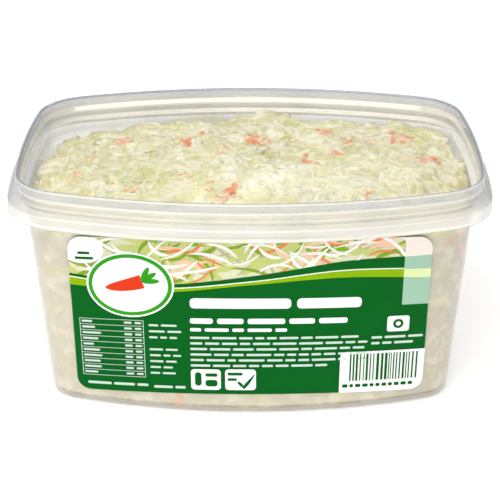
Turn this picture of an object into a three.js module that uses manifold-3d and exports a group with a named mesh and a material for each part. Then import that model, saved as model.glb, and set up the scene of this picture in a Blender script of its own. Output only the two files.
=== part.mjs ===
// A rectangular clear plastic tub with bowed sides, filled with coleslaw, with a wrapped front label.
// Millimetres, +Z up. X runs along the long side, -Y is the front, the origin is the middle of the base.
import * as THREE from 'three';
import Module from 'manifold-3d';

// Plan of the tub's wall at the height of the skirt's foot: four bowed sides joined by round corners.
const HALF_LENGTH = 79.4;
const HALF_WIDTH = 54;
const LONG_SIDE_BOW = 225.7;
const SHORT_SIDE_BOW = 315.2;
const CORNER = 17.3;
const SIDE_STEPS = { long: 4, corner: 7, short: 3 };

// The wall, floor and stepped rim. Offsets are measured outwards from the plan above.
const WALL = 0.7;
const FLOOR = 0.8;
const FOOT_TAPER = 5.8;
const WALL_SET_IN = 0.7;
const FOOT_ROUND = 2.8;
const SKIRT_FOOT = 73.3;
const SKIRT_OUT = 5.6;
const FLANGE_TOP = 77.8;
const FLANGE_THICK = 1.2;
const STEP_OUT = 1.45;
const LEDGE_LOW = 80.3;
const LEDGE_HIGH = 81.9;
const LIP_OUT = 2.4;
const LIP_THICK = 1.2;
const TUB_HEIGHT = 85.6;
const INSIDE_STEP = FLANGE_TOP - 0.5;

// The section's rounded edges, each as how far it takes off sideways and in height.
const FOOT_EDGE = { side: 0.3 * FOOT_ROUND, height: 0.25 * FOOT_ROUND };
const SKIRT_DRAFT = 0.1;
const SKIRT_HOLLOW_DRAFT = 0.15;
const FLANGE_EDGE = { side: 0.6, height: 0.8 };
const STEP_EDGE = 0.7;
const LEDGE_EDGE = 0.2;
const LIP_EDGE = { side: 0.35, height: 0.6 };
const INSIDE_STEP_EDGE = { side: 0.4, height: 0.3 };
const INSIDE_STEP_FALL = 0.1;

// The heap. Its surface is a plateau that drops towards the walls, most at the back left corner.
const HEAP_GAP = 0.3;
const PLATEAU = 75.6;
const CROWN = 2.6;
const HIGHEST = 79.8;
const DROP_REACH = 7;
const DROP_START = 1.5;
const DROP = { frontLeft: 5, frontRight: 4.5, backLeft: 8, backRight: 0.8 };
const RIDGE = { x: 5, y: 43, reach: 13, rise: 3.4 };
const LUMPS = { count: 34, reach: [6, 12], rise: [-2.2, 2.4], seed: 11 };
const HEAP_RINGS = 8;

// Where the salad was pressed lower, along the back and at both ends.
const HOLLOWS = [
  { x: -36, y: 46, reach: 13, rise: -2.8 },
  { x: -40, y: 40, reach: 7, rise: -1.6 },
  { x: -74, y: 28, reach: 12, rise: -3.2 },
  { x: -9, y: 46, reach: 6, rise: -1.6 },
  { x: 17, y: 45, reach: 7, rise: -3 },
  { x: 50, y: 44, reach: 16, rise: -1.2 },
  { x: 76, y: 26, reach: 10, rise: -2.5 },
];

// The shreds that show on the heap, one to each cell of a grid laid over it, as far as they fit.
const SHREDS = {
  columns: 13, rows: 8, length: [9, 24], width: [2.4, 4.4], thickness: [1, 1.7],
  bend: 0.5, arch: 1.2, tilt: 0.8, seed: 29,
};
const SHRED_STEP = 7;
const SHRED_SINK = 0.25;
const SHRED_TRIES = 6;
const SIMPLEST = 0.15;

// The label on the front wall, with its lower edge bent down towards the ends.
const LABEL = { width: 125, low: 9, high: 72, thick: 0.3, gap: 0.15, corner: 5, droop: 3 };
const LABEL_COLUMNS = 18;
const LABEL_CORNER_COLUMNS = 4;

const LOOKS = {
  tub: { color: 0xdfe3e6, roughness: 0.2, opacity: 0.35 },
  salad: { color: 0xeae2b8, roughness: 0.45, opacity: 1 },
  label: { color: 0x0a7332, roughness: 0.35, opacity: 1 },
};

const lerp = (a, b, t) => a + (b - a) * t;

// A small generator of even random numbers, the same on every run.
function seededRandom(seed) {
  let state = seed;
  return (low = 0, high = 1) => {
    state = (Math.imul(state, 1664525) + 1013904223) >>> 0;
    return lerp(low, high, state / 4294967296);
  };
}

// The three circles of one quarter of the plan: the front bow, the right bow and the corner between them.
const FRONT_CENTRE = { x: 0, y: LONG_SIDE_BOW - HALF_WIDTH };
const RIGHT_CENTRE = { x: HALF_LENGTH - SHORT_SIDE_BOW, y: 0 };
const CORNER_CENTRE = cornerCentre();

// The corner's circle touches both bows from inside, so its centre is a known distance from each of theirs.
function cornerCentre() {
  const fromFront = LONG_SIDE_BOW - CORNER;
  const fromRight = SHORT_SIDE_BOW - CORNER;
  const dx = RIGHT_CENTRE.x - FRONT_CENTRE.x;
  const dy = RIGHT_CENTRE.y - FRONT_CENTRE.y;
  const apart = Math.hypot(dx, dy);
  const along = (fromFront ** 2 - fromRight ** 2 + apart ** 2) / (2 * apart);
  const aside = Math.sqrt(fromFront ** 2 - along ** 2);
  const middle = { x: FRONT_CENTRE.x + (dx * along) / apart, y: FRONT_CENTRE.y + (dy * along) / apart };
  return { x: middle.x - (dy * aside) / apart, y: middle.y + (dx * aside) / apart };
}

function arc(centre, radius, from, to, steps) {
  return Array.from({ length: steps }, (_, i) => {
    const angle = lerp(from, to, i / steps);
    return { x: centre.x + radius * Math.cos(angle), y: centre.y + radius * Math.sin(angle) };
  });
}

// The plan outline, grown outwards by an offset, anticlockwise from the middle of the front.
function planOutline(offset) {
  const leaveFront = Math.atan2(CORNER_CENTRE.y - FRONT_CENTRE.y, CORNER_CENTRE.x - FRONT_CENTRE.x);
  const reachRight = Math.atan2(CORNER_CENTRE.y - RIGHT_CENTRE.y, CORNER_CENTRE.x - RIGHT_CENTRE.x);
  const quarter = [
    ...arc(FRONT_CENTRE, LONG_SIDE_BOW + offset, -Math.PI / 2, leaveFront, SIDE_STEPS.long),
    ...arc(CORNER_CENTRE, CORNER + offset, leaveFront, reachRight, SIDE_STEPS.corner),
    ...arc(RIGHT_CENTRE, SHORT_SIDE_BOW + offset, reachRight, 0, SIDE_STEPS.short),
    { x: HALF_LENGTH + offset, y: 0 },
  ];
  const back = quarter.slice(0, -1).reverse().map(({ x, y }) => ({ x, y: -y }));
  const right = [...quarter, ...back];
  const left = right.slice(1, -1).reverse().map(({ x, y }) => ({ x: -x, y }));
  return [...right, ...left];
}

// The outer face of the wall at a height, as an offset from the plan.
function wallOffset(z) {
  return lerp(-FOOT_TAPER, -WALL_SET_IN, z / SKIRT_FOOT);
}

// A closed body through rings of points, with its first and last ring closed by a fan round a middle point.
function closedBody(rings, startPoint, endPoint) {
  const size = rings[0].length;
  const points = [startPoint, ...rings.flat(), endPoint];
  const faces = [];
  const at = (ring, i) => 1 + ring * size + (i % size);
  for (let i = 0; i < size; i++) {
    faces.push(0, at(0, i + 1), at(0, i));
    for (let ring = 0; ring < rings.length - 1; ring++) {
      faces.push(at(ring, i), at(ring, i + 1), at(ring + 1, i + 1));
      faces.push(at(ring, i), at(ring + 1, i + 1), at(ring + 1, i));
    }
    faces.push(points.length - 1, at(rings.length - 1, i), at(rings.length - 1, i + 1));
  }
  return bodyGeometry(points.flatMap(({ x, y, z }) => [x, y, z]), faces);
}

function bodyGeometry(positions, faces) {
  const geometry = new THREE.BufferGeometry();
  geometry.setAttribute('position', new THREE.Float32BufferAttribute(positions, 3));
  geometry.setIndex(faces);
  geometry.computeVertexNormals();
  return geometry;
}

// The tub's section as [offset, height], from the base out, up the outside, over the lip and down the inside.
function tubSection() {
  const underFlange = FLANGE_TOP - FLANGE_THICK;
  const outerRoot = wallOffset(underFlange);
  const skirtInside = SKIRT_OUT - WALL;
  const lipInside = LIP_OUT - LIP_THICK;
  const stepInside = STEP_OUT - WALL;
  return [
    [-FOOT_TAPER - FOOT_ROUND, 0],
    [-FOOT_TAPER - FOOT_EDGE.side, FOOT_EDGE.height],
    [wallOffset(FOOT_ROUND), FOOT_ROUND],
    [outerRoot, underFlange],
    [skirtInside - SKIRT_HOLLOW_DRAFT, FLANGE_TOP - WALL],
    [skirtInside, SKIRT_FOOT],
    [SKIRT_OUT, SKIRT_FOOT],
    [SKIRT_OUT - SKIRT_DRAFT, FLANGE_TOP - FLANGE_EDGE.height],
    [SKIRT_OUT - FLANGE_EDGE.side, FLANGE_TOP],
    [STEP_OUT + STEP_EDGE, FLANGE_TOP],
    [STEP_OUT, FLANGE_TOP + STEP_EDGE],
    [STEP_OUT, LEDGE_LOW + LEDGE_EDGE],
    [LIP_OUT, LEDGE_HIGH + LEDGE_EDGE],
    [LIP_OUT, TUB_HEIGHT - LIP_EDGE.height],
    [LIP_OUT - LIP_EDGE.side, TUB_HEIGHT],
    [lipInside + LIP_EDGE.side, TUB_HEIGHT],
    [lipInside, TUB_HEIGHT - LIP_EDGE.height],
    [lipInside, LEDGE_HIGH],
    [stepInside, LEDGE_LOW],
    [stepInside, INSIDE_STEP + INSIDE_STEP_EDGE.height],
    [stepInside - INSIDE_STEP_EDGE.side, INSIDE_STEP],
    [outerRoot - WALL, INSIDE_STEP - INSIDE_STEP_FALL],
    [wallOffset(FOOT_ROUND + FLOOR) - WALL, FOOT_ROUND + FLOOR],
    [-FOOT_TAPER - WALL - FOOT_EDGE.side, FLOOR + FOOT_EDGE.height],
    [-FOOT_TAPER - WALL - FOOT_ROUND, FLOOR],
  ];
}

function tubGeometry() {
  const rings = tubSection().map(([offset, z]) => planOutline(offset).map(({ x, y }) => ({ x, y, z })));
  return closedBody(rings, { x: 0, y: 0, z: 0 }, { x: 0, y: 0, z: FLOOR });
}

// How far a place in plan is from the inside of the wall, roughly, for the heap's drop towards it.
function distanceToWall(x, y) {
  const fromEnds = HALF_LENGTH - (y * y) / (2 * SHORT_SIDE_BOW) - Math.abs(x);
  const fromSides = HALF_WIDTH - (x * x) / (2 * LONG_SIDE_BOW) - Math.abs(y);
  return Math.max(0, Math.min(fromEnds, fromSides) - DROP_START);
}

const lumps = makeLumps();

function makeLumps() {
  const random = seededRandom(LUMPS.seed);
  return Array.from({ length: LUMPS.count }, () => ({
    x: random(-HALF_LENGTH, HALF_LENGTH),
    y: random(-HALF_WIDTH, HALF_WIDTH),
    reach: random(...LUMPS.reach),
    rise: random(...LUMPS.rise),
  }));
}

// The height of the heap's core over a place in plan.
function heapHeight(x, y) {
  const u = x / HALF_LENGTH;
  const v = y / HALF_WIDTH;
  const front = lerp(DROP.frontLeft, DROP.frontRight, (u + 1) / 2);
  const back = lerp(DROP.backLeft, DROP.backRight, (u + 1) / 2);
  const drop = lerp(front, back, (v + 1) / 2) * Math.exp(-distanceToWall(x, y) / DROP_REACH);
  let height = PLATEAU + CROWN * (1 - u * u) * (1 - v * v) - drop;
  for (const lump of [RIDGE, ...HOLLOWS, ...lumps]) {
    const away = ((x - lump.x) ** 2 + (y - lump.y) ** 2) / lump.reach ** 2;
    height += lump.rise * Math.exp(-away);
  }
  return Math.min(height, HIGHEST);
}

// The core fills the tub up to the heap's surface, a small gap in from the wall and floor.
function heapCore() {
  const inset = WALL + HEAP_GAP;
  const level = (offset, z) => planOutline(offset).map(({ x, y }) => ({ x, y, z }));
  const floor = FLOOR + HEAP_GAP;
  const rings = [
    level(-FOOT_TAPER - inset - FOOT_ROUND, floor),
    level(-FOOT_TAPER - inset - FOOT_EDGE.side, floor + FOOT_EDGE.height),
    level(wallOffset(FOOT_ROUND + FLOOR) - inset, FOOT_ROUND + FLOOR),
  ];
  const nominal = planOutline(wallOffset(PLATEAU) - inset);
  const edge = nominal.map(({ x, y }, i) => {
    const z = heapHeight(x, y);
    const place = planOutline(wallOffset(z) - inset)[i];
    return { ...place, z };
  });
  rings.push(edge);
  for (let ring = 1; ring < HEAP_RINGS; ring++) {
    const scale = 1 - ring / HEAP_RINGS;
    rings.push(edge.map(({ x, y }) => ({ x: x * scale, y: y * scale, z: heapHeight(x * scale, y * scale) })));
  }
  return closedBody(rings, { x: 0, y: 0, z: floor }, { x: 0, y: 0, z: heapHeight(0, 0) });
}

// A flat strip through a few places on the heap, bent in plan and slightly arched.
function shredGeometry(path, width, thickness) {
  const up = new THREE.Vector3(0, 0, 1);
  const rings = path.map((point, i) => {
    const before = path[Math.max(i - 1, 0)];
    const after = path[Math.min(i + 1, path.length - 1)];
    const along = new THREE.Vector3().subVectors(after, before).normalize();
    const across = new THREE.Vector3().crossVectors(up, along).normalize().multiplyScalar(width / 2);
    const normal = new THREE.Vector3().crossVectors(along, across).normalize().multiplyScalar(thickness / 2);
    return [[1, 1], [-1, 1], [-1, -1], [1, -1]].map(([side, top]) =>
      point.clone().addScaledVector(across, side).addScaledVector(normal, top));
  });
  return closedBody(rings, path[0], path[path.length - 1]);
}

function insideOutline({ x, y }, outline) {
  let inside = false;
  outline.forEach((a, i) => {
    const b = outline[(i + 1) % outline.length];
    const crosses = (a.y > y) !== (b.y > y);
    if (crosses && x < a.x + ((y - a.y) / (b.y - a.y)) * (b.x - a.x)) inside = !inside;
  });
  return inside;
}

// Places along one shred from a cell of the grid, or nothing where it would cross the wall.
function shredPath(random, column, row, outline) {
  const length = random(...SHREDS.length);
  const steps = Math.ceil(length / SHRED_STEP);
  const heading = random(0, Math.PI);
  const bend = random(-SHREDS.bend, SHREDS.bend);
  const arch = random(0, SHREDS.arch);
  const tilt = random(-SHREDS.tilt, SHREDS.tilt);
  const middle = {
    x: HALF_LENGTH * (2 * (column + random()) / SHREDS.columns - 1),
    y: HALF_WIDTH * (2 * (row + random()) / SHREDS.rows - 1),
  };
  const path = [];
  for (let i = 0; i <= steps; i++) {
    const t = i / steps - 0.5;
    const turn = heading + bend * t;
    const x = middle.x + length * t * Math.cos(turn);
    const y = middle.y + length * t * Math.sin(turn);
    if (!insideOutline({ x, y }, outline)) return null;
    const lift = arch * (1 - 4 * t * t) + tilt * t - SHRED_SINK;
    path.push(new THREE.Vector3(x, y, Math.min(heapHeight(x, y) + lift, HIGHEST)));
  }
  return path;
}

function allShreds() {
  const random = seededRandom(SHREDS.seed);
  const clear = WALL + HEAP_GAP + SHREDS.width[1] / 2;
  const outline = planOutline(wallOffset(PLATEAU - DROP.backLeft) - clear);
  const shreds = [];
  for (let cell = 0; cell < SHREDS.columns * SHREDS.rows; cell++) {
    const column = cell % SHREDS.columns;
    const row = Math.floor(cell / SHREDS.columns);
    let path = null;
    for (let tries = 0; tries < SHRED_TRIES && !path; tries++) path = shredPath(random, column, row, outline);
    if (path) shreds.push(shredGeometry(path, random(...SHREDS.width), random(...SHREDS.thickness)));
  }
  return shreds;
}

// The heap is its core with the shreds fused on, as one body with no hollow inside.
async function heapGeometry() {
  const wasm = await Module();
  wasm.setup();
  const solid = (geometry) => new wasm.Manifold(new wasm.Mesh({
    numProp: 3,
    vertProperties: geometry.attributes.position.array,
    triVerts: Uint32Array.from(geometry.index.array),
  }));
  const heap = allShreds().reduce((sum, shred) => sum.add(solid(shred)), solid(heapCore()));
  const bodies = heap.simplify(SIMPLEST).decompose();
  const mesh = bodies.reduce((a, b) => (a.volume() > b.volume() ? a : b)).getMesh();
  return bodyGeometry(Array.from(mesh.vertProperties), Array.from(mesh.triVerts));
}

// A place on the front wall: along the bow, up from the base, and out from the wall.
function onFrontWall(along, up, out) {
  const z = up - LABEL.droop * (along / (LABEL.width / 2)) ** 2;
  const radius = LONG_SIDE_BOW + wallOffset(z);
  const angle = along / radius;
  return {
    x: FRONT_CENTRE.x + (radius + out) * Math.sin(angle),
    y: FRONT_CENTRE.y - (radius + out) * Math.cos(angle),
    z,
  };
}

// Columns of the label from left to right, closer together round its corners.
function labelColumns() {
  const half = LABEL.width / 2;
  const columns = [];
  for (let i = 0; i <= LABEL_CORNER_COLUMNS; i++) {
    const angle = (i / LABEL_CORNER_COLUMNS) * (Math.PI / 2);
    const cut = LABEL.corner * (1 - Math.sin(angle));
    columns.push({ along: -half + LABEL.corner * (1 - Math.cos(angle)), cut });
  }
  const mirrored = columns.map(({ along, cut }) => ({ along: -along, cut })).reverse();
  const inner = half - LABEL.corner;
  for (let i = 1; i < LABEL_COLUMNS; i++) {
    columns.push({ along: lerp(-inner, inner, i / LABEL_COLUMNS), cut: 0 });
  }
  return [...columns, ...mirrored];
}

function labelGeometry() {
  const near = LABEL.gap;
  const far = LABEL.gap + LABEL.thick;
  const rings = labelColumns().map(({ along, cut }) => {
    const low = LABEL.low + cut;
    const high = LABEL.high - cut;
    return [
      onFrontWall(along, high, near),
      onFrontWall(along, high, far),
      onFrontWall(along, low, far),
      onFrontWall(along, low, near),
    ];
  });
  const half = LABEL.width / 2;
  const middle = (LABEL.low + LABEL.high) / 2;
  const edge = (near + far) / 2;
  return closedBody(rings, onFrontWall(-half, middle, edge), onFrontWall(half, middle, edge));
}

function piece(name, geometry) {
  const look = LOOKS[name];
  const finish = { ...look, metalness: 0, transparent: look.opacity < 1 };
  const mesh = new THREE.Mesh(geometry, new THREE.MeshStandardMaterial(finish));
  mesh.name = name;
  return mesh;
}

const coleslaw = new THREE.Group();
coleslaw.add(piece('tub', tubGeometry()));
coleslaw.add(piece('salad', await heapGeometry()));
coleslaw.add(piece('label', labelGeometry()));

export default coleslaw;
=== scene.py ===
"""Coleslaw in its clear tub: a bowed rectangular tub with a stepped rim, its filling and its printed label."""

import math

import bmesh
import bpy
import numpy as np
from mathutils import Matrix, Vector


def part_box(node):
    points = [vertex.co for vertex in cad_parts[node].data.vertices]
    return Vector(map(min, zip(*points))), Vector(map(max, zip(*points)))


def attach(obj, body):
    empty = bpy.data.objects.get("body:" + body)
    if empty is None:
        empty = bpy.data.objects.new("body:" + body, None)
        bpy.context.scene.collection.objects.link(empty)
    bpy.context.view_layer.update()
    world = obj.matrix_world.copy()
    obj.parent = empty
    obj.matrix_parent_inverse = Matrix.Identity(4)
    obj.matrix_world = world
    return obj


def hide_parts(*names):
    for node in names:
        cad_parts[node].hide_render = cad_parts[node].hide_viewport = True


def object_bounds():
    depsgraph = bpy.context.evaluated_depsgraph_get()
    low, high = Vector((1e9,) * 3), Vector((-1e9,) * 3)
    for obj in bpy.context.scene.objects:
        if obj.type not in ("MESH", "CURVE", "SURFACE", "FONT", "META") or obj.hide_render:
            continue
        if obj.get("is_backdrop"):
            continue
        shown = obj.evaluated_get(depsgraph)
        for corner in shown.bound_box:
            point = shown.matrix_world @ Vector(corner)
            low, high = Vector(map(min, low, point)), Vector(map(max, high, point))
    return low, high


bl_info = {
    "name": "Coleslaw tub",
    "version": (1, 0, 0),
    "blender": (4, 5, 0),
    "location": "View3D > Sidebar > Coleslaw",
    "description": "Makes a clear tub of coleslaw with a printed label",
    "category": "Add Mesh",
}

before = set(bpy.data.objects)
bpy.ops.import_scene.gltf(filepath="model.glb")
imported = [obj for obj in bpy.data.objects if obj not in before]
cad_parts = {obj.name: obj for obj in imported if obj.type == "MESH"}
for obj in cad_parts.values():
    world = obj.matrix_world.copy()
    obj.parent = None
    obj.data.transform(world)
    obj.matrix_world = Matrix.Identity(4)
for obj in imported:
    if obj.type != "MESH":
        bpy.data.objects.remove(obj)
CAD_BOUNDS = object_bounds()
MM = 0.001
BODY = "root"


def mm(*lengths):
    """Millimetres as metres."""
    return tuple(length * MM for length in lengths)


# The tub's plan and levels, from the frame's box and the same driving sizes as the solid, in metres.
TUB_LOW, TUB_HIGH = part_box("tub")
SKIRT_OUT = 5.6 * MM
HALF_LENGTH = TUB_HIGH.x - SKIRT_OUT
HALF_WIDTH = TUB_HIGH.y - SKIRT_OUT
TUB_HEIGHT = TUB_HIGH.z
LONG_SIDE_BOW = 225.7 * MM
SHORT_SIDE_BOW = 315.2 * MM
CORNER = 17.3 * MM
WALL = 0.7 * MM
FLOOR = 0.8 * MM
FOOT_TAPER = 5.8 * MM
WALL_SET_IN = 0.7 * MM
FOOT_ROUND = 2.8 * MM
SKIRT_FOOT = 73.3 * MM
FLANGE_TOP = 77.8 * MM
STEP_OUT = 1.45 * MM
LEDGE_LOW = 80.3 * MM
LEDGE_HIGH = 81.9 * MM
LIP_OUT = 2.4 * MM
LIP_THICK = 1.2 * MM
PLAN_STEPS = {"long": 18, "corner": 16, "short": 12}

# The heap's surface: a plateau that drops towards the walls, a ridge at the back and lumps all over.
PLATEAU = 75.6 * MM
CROWN = 2.6 * MM
HIGHEST = 79.8 * MM
DROP_REACH = 7 * MM
DROP = {"front_left": 5 * MM, "front_right": 4.5 * MM, "back_left": 8 * MM, "back_right": 0.8 * MM}
RIDGE = mm(5, 43, 7, 1.4)
HOLLOWS = [
    mm(-36, 46, 13, -2.8), mm(-40, 40, 7, -1.6), mm(-74, 28, 12, -3.2), mm(-12, 46, 9, -3.2),
    mm(17, 45, 7, -3), mm(50, 44, 16, -1.2), mm(76, 26, 10, -2.5),
]
LUMP_COUNT = 34

# What starts each row of random draws.
SEEDS = {
    "lumps": 11, "soft_lumps": 19, "coated_shreds": 5, "small_patches": 37, "side_spots": 8,
    "shred_variants": 23, "crowded_spots": 31, "picture": 77, "bars": 101,
}


def lerp(a, b, t):
    return a + (b - a) * t


def mound(x, y, at_x, at_y, reach):
    """A round mound, 1 high and as wide as its reach: its height over places in plan."""
    return np.exp(-((x - at_x) ** 2 + (y - at_y) ** 2) / reach**2)


def even_random(name):
    """Gives a function that draws even random numbers, the same on every run."""
    state = [SEEDS[name]]

    def draw(low, high):
        state[0] = (state[0] * 1664525 + 1013904223) & 0xFFFFFFFF
        return lerp(low, high, state[0] / 4294967296)

    return draw


# Plan outline

def corner_centre():
    """The corner's circle touches both bows from inside, so its centre is a known distance from theirs."""
    front = Vector((0, LONG_SIDE_BOW - HALF_WIDTH))
    right = Vector((HALF_LENGTH - SHORT_SIDE_BOW, 0))
    from_front = LONG_SIDE_BOW - CORNER
    from_right = SHORT_SIDE_BOW - CORNER
    apart = (right - front).length
    along = (from_front**2 - from_right**2 + apart**2) / (2 * apart)
    aside = math.sqrt(from_front**2 - along**2)
    towards = (right - front) / apart
    return front + towards * along + Vector((-towards.y, towards.x)) * aside, front, right


CORNER_CENTRE, FRONT_CENTRE, RIGHT_CENTRE = corner_centre()


def arc(centre, radius, start, end, steps):
    angles = np.linspace(start, end, steps, endpoint=False)
    return np.stack([centre.x + radius * np.cos(angles), centre.y + radius * np.sin(angles)], 1)


def plan_outline(offset, steps=PLAN_STEPS):
    """The plan, grown outwards by an offset, anticlockwise from the middle of the front."""
    leave = math.atan2(*(CORNER_CENTRE - FRONT_CENTRE).yx)
    reach = math.atan2(*(CORNER_CENTRE - RIGHT_CENTRE).yx)
    quarter = np.concatenate([
        arc(FRONT_CENTRE, LONG_SIDE_BOW + offset, -math.pi / 2, leave, steps["long"]),
        arc(CORNER_CENTRE, CORNER + offset, leave, reach, steps["corner"]),
        arc(RIGHT_CENTRE, SHORT_SIDE_BOW + offset, reach, 0, steps["short"]),
        [[HALF_LENGTH + offset, 0]],
    ])
    right = np.concatenate([quarter, (quarter * (1, -1))[-2::-1]])
    return np.concatenate([right, (right * (-1, 1))[-2:0:-1]])


def wall_offset(z):
    """The outer face of the wall at a height, as an offset from the plan."""
    return lerp(-FOOT_TAPER, -WALL_SET_IN, z / SKIRT_FOOT)


# Mesh helpers

def swept_body(rings, start, end):
    """Points and faces of a closed body through rings of points, its ends closed round a middle point."""
    rings = np.asarray(rings, float)
    count, size = rings.shape[:2]
    points = np.concatenate([[start], rings.reshape(-1, 3), [end]])
    i = np.arange(size)
    j = (i + 1) % size
    faces = [np.stack([np.zeros(size, int), 1 + j, 1 + i], 1)]
    for ring in range(count - 1):
        low = 1 + ring * size
        high = low + size
        faces.append(np.stack([low + i, low + j, high + j], 1))
        faces.append(np.stack([low + i, high + j, high + i], 1))
    last = 1 + (count - 1) * size
    faces.append(np.stack([np.full(size, len(points) - 1), last + i, last + j], 1))
    return points, np.concatenate(faces)


def level_ring(offset, z, steps=PLAN_STEPS):
    """The plan's outline as a level ring of points."""
    plan = plan_outline(offset, steps)
    return np.column_stack([plan, np.full(len(plan), z)])


def show(name, mesh, material):
    """Puts a mesh into the scene as a piece of its own."""
    mesh.materials.append(material)
    piece = bpy.data.objects.new(name, mesh)
    bpy.context.scene.collection.objects.link(piece)
    return piece


def new_piece(name, points, faces, material):
    mesh = bpy.data.meshes.new(name)
    mesh.from_pydata([tuple(p) for p in points], [], [tuple(int(k) for k in f) for f in faces])
    mesh.update()
    return show(name, mesh, material)


def smooth(piece, angle=35):
    piece.data.shade_smooth()
    piece.data.set_sharp_from_angle(angle=math.radians(angle))


def paint(piece, name, values):
    """Gives each point of a piece a number that its material or its shreds read."""
    painted = piece.data.attributes.new(name, "FLOAT", "POINT")
    painted.data.foreach_set("value", values)


def settle(piece, slot, *nodes):
    """Fixes a finished piece to the object's one body and hides the solids it stands for. The slot is not used.
    """
    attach(piece, BODY)
    if nodes:
        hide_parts(*nodes)


def real_mesh(piece):
    """Turns a piece's modifiers into a plain mesh."""
    bpy.context.view_layer.update()
    evaluated = piece.evaluated_get(bpy.context.evaluated_depsgraph_get())
    mesh = bpy.data.meshes.new_from_object(evaluated)
    piece.modifiers.clear()
    old = piece.data
    piece.data = mesh
    bpy.data.meshes.remove(old)
    mesh.name = piece.name


# Node trees

def math_node(operation, swapped=False):
    """A method that carries a socket's expression on with one Math node."""
    def method(self, other):
        return self.nodes.maths(operation, *((other, self) if swapped else (self, other)))

    return method


class Value:
    """A socket that Python's arithmetic continues with Math nodes."""

    __add__ = __radd__ = math_node("ADD")
    __sub__ = math_node("SUBTRACT")
    __rsub__ = math_node("SUBTRACT", swapped=True)
    __mul__ = __rmul__ = math_node("MULTIPLY")
    __truediv__ = math_node("DIVIDE")
    __pow__ = math_node("POWER")
    __gt__ = math_node("GREATER_THAN")
    least = math_node("MINIMUM")
    most = math_node("MAXIMUM")

    def __init__(self, nodes, socket):
        self.nodes = nodes
        self.socket = socket

    def share(self):
        """The value, kept between 0 and 1."""
        return self.most(0).least(1)

    def output(self, name):
        """Another output of the same node."""
        return Value(self.nodes, self.socket.node.outputs[name])


class Nodes:
    """A node tree that is written as expressions."""

    def __init__(self, tree):
        self.tree = tree
        tree.nodes.clear()

    def node(self, kind, *values, settings=None, output=0, **named):
        """A node. Its inputs are given in their order, or by name with underscores for spaces."""
        made = self.tree.nodes.new(kind)
        for key, value in (settings or {}).items():
            setattr(made, key, value)
        for place, value in enumerate(values):
            self.put(made.inputs[place], value)
        for name, value in named.items():
            self.put(made.inputs[name.replace("_", " ")], value)
        return Value(self, made.outputs[output]) if made.outputs else made

    def put(self, socket, value):
        if isinstance(value, (Value, list)):
            for item in value if isinstance(value, list) else [value]:
                self.tree.links.new(item.socket, socket)
        else:
            socket.default_value = value

    def maths(self, operation, *values):
        return self.node("ShaderNodeMath", *values, settings={"operation": operation})

    def blend(self, factor, a, b):
        mix = self.node("ShaderNodeMix", factor, settings={"data_type": "RGBA"}, output=2)
        self.put(mix.socket.node.inputs[6], a)
        self.put(mix.socket.node.inputs[7], b)
        return mix

    def ramp(self, factor, stops):
        made = self.node("ShaderNodeValToRGB", factor)
        elements = made.socket.node.color_ramp.elements
        while len(elements) < len(stops):
            elements.new(0.5)
        for element, (place, colour) in zip(elements, stops):
            element.position = place
            element.color = (*colour, 1)
        return made

    def grade(self, factor, start, end, first=0, last=1):
        """Turns from one grey to another between two values of the factor."""
        return self.ramp(factor, [(start, (first,) * 3), (end, (last,) * 3)])

    def split(self, vector):
        """A vector's X, Y and Z."""
        x = self.node("ShaderNodeSeparateXYZ", vector)
        return x, x.output("Y"), x.output("Z")

    def vector(self, **parts):
        return self.node("ShaderNodeCombineXYZ", **parts)


class Finish(Nodes):
    """A material made of one surface shader."""

    def __init__(self, name):
        self.material = bpy.data.materials.new(name)
        self.material.use_nodes = True
        super().__init__(self.material.node_tree)
        self.place = self.node("ShaderNodeTexCoord", output="Object")

    def painted(self, name, output="Fac"):
        """What a piece's points carry under a name."""
        return self.node("ShaderNodeAttribute", settings={"attribute_name": name}, output=output)

    def noise(self, scale, detail=3.0, distortion=0.0):
        return self.node(
            "ShaderNodeTexNoise", Vector=self.place, Scale=scale, Detail=detail, Distortion=distortion)

    def bump(self, height, strength, distance):
        return self.node("ShaderNodeBump", Height=height, Strength=strength, Distance=distance)

    def done(self, cover=None, **values):
        """Ends the material with its surface. A clear one is covered by it only as far as told."""
        surface = self.node("ShaderNodeBsdfPrincipled", **values)
        if cover is not None:
            surface = self.node("ShaderNodeMixShader", cover, self.node("ShaderNodeBsdfTransparent"), surface)
        self.node("ShaderNodeOutputMaterial", Surface=surface)
        return self.material


def rgba(colour):
    return (*colour, 1.0)


def screen(red, green, blue):
    """A colour read off a screen, 0 to 255, as the linear colour that the shaders take."""
    return tuple(lerp(c / 12.92, ((c + 0.055) / 1.055) ** 2.4, c > 0.04045)
                 for c in (red / 255, green / 255, blue / 255))


def tints(*stops):
    """Stops of a ramp: each one's place, and its colour as read off a screen."""
    return [(place, screen(*colour)) for place, *colour in stops]


def colour_property(name, description, default):
    return bpy.props.FloatVectorProperty(
        name=name, description=description, subtype="COLOR", size=3, min=0, max=1, default=default)


def length_property(name, description, default):
    return bpy.props.FloatProperty(
        name=name, description=description, subtype="DISTANCE", unit="LENGTH", min=0, default=default)


def factor_property(name, description, default):
    return bpy.props.FloatProperty(
        name=name, description=description, subtype="FACTOR", min=0, max=1, default=default)


def count_property(name, description, default):
    return bpy.props.IntProperty(name=name, description=description, default=default, min=0)


# Tub

class TubSettings(bpy.types.PropertyGroup):
    """The clear tub's finish, with its painted highlights and painted grey shade."""

    # Painted highlight: the colour that faces take where the tub's painted light is high.
    light: colour_property("Light plastic", "Colour of the faces that gather light", (0.99, 0.945, 0.82))
    # Painted shade: the grey that faces take where the painted light is low.
    grey: colour_property("Grey plastic", "Colour of the faces that look grey", (0.22, 0.28, 0.39))
    # Painted shade: the darker, warmer grey in the round foot.
    foot: colour_property("Foot", "Colour of the grey faces in the round foot", (0.33, 0.285, 0.21))
    edge: factor_property("Edge", "How much a face hides, seen along its surface", 0.8)
    roughness: factor_property("Roughness", "Roughness of the moulded faces", 0.1)


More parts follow.
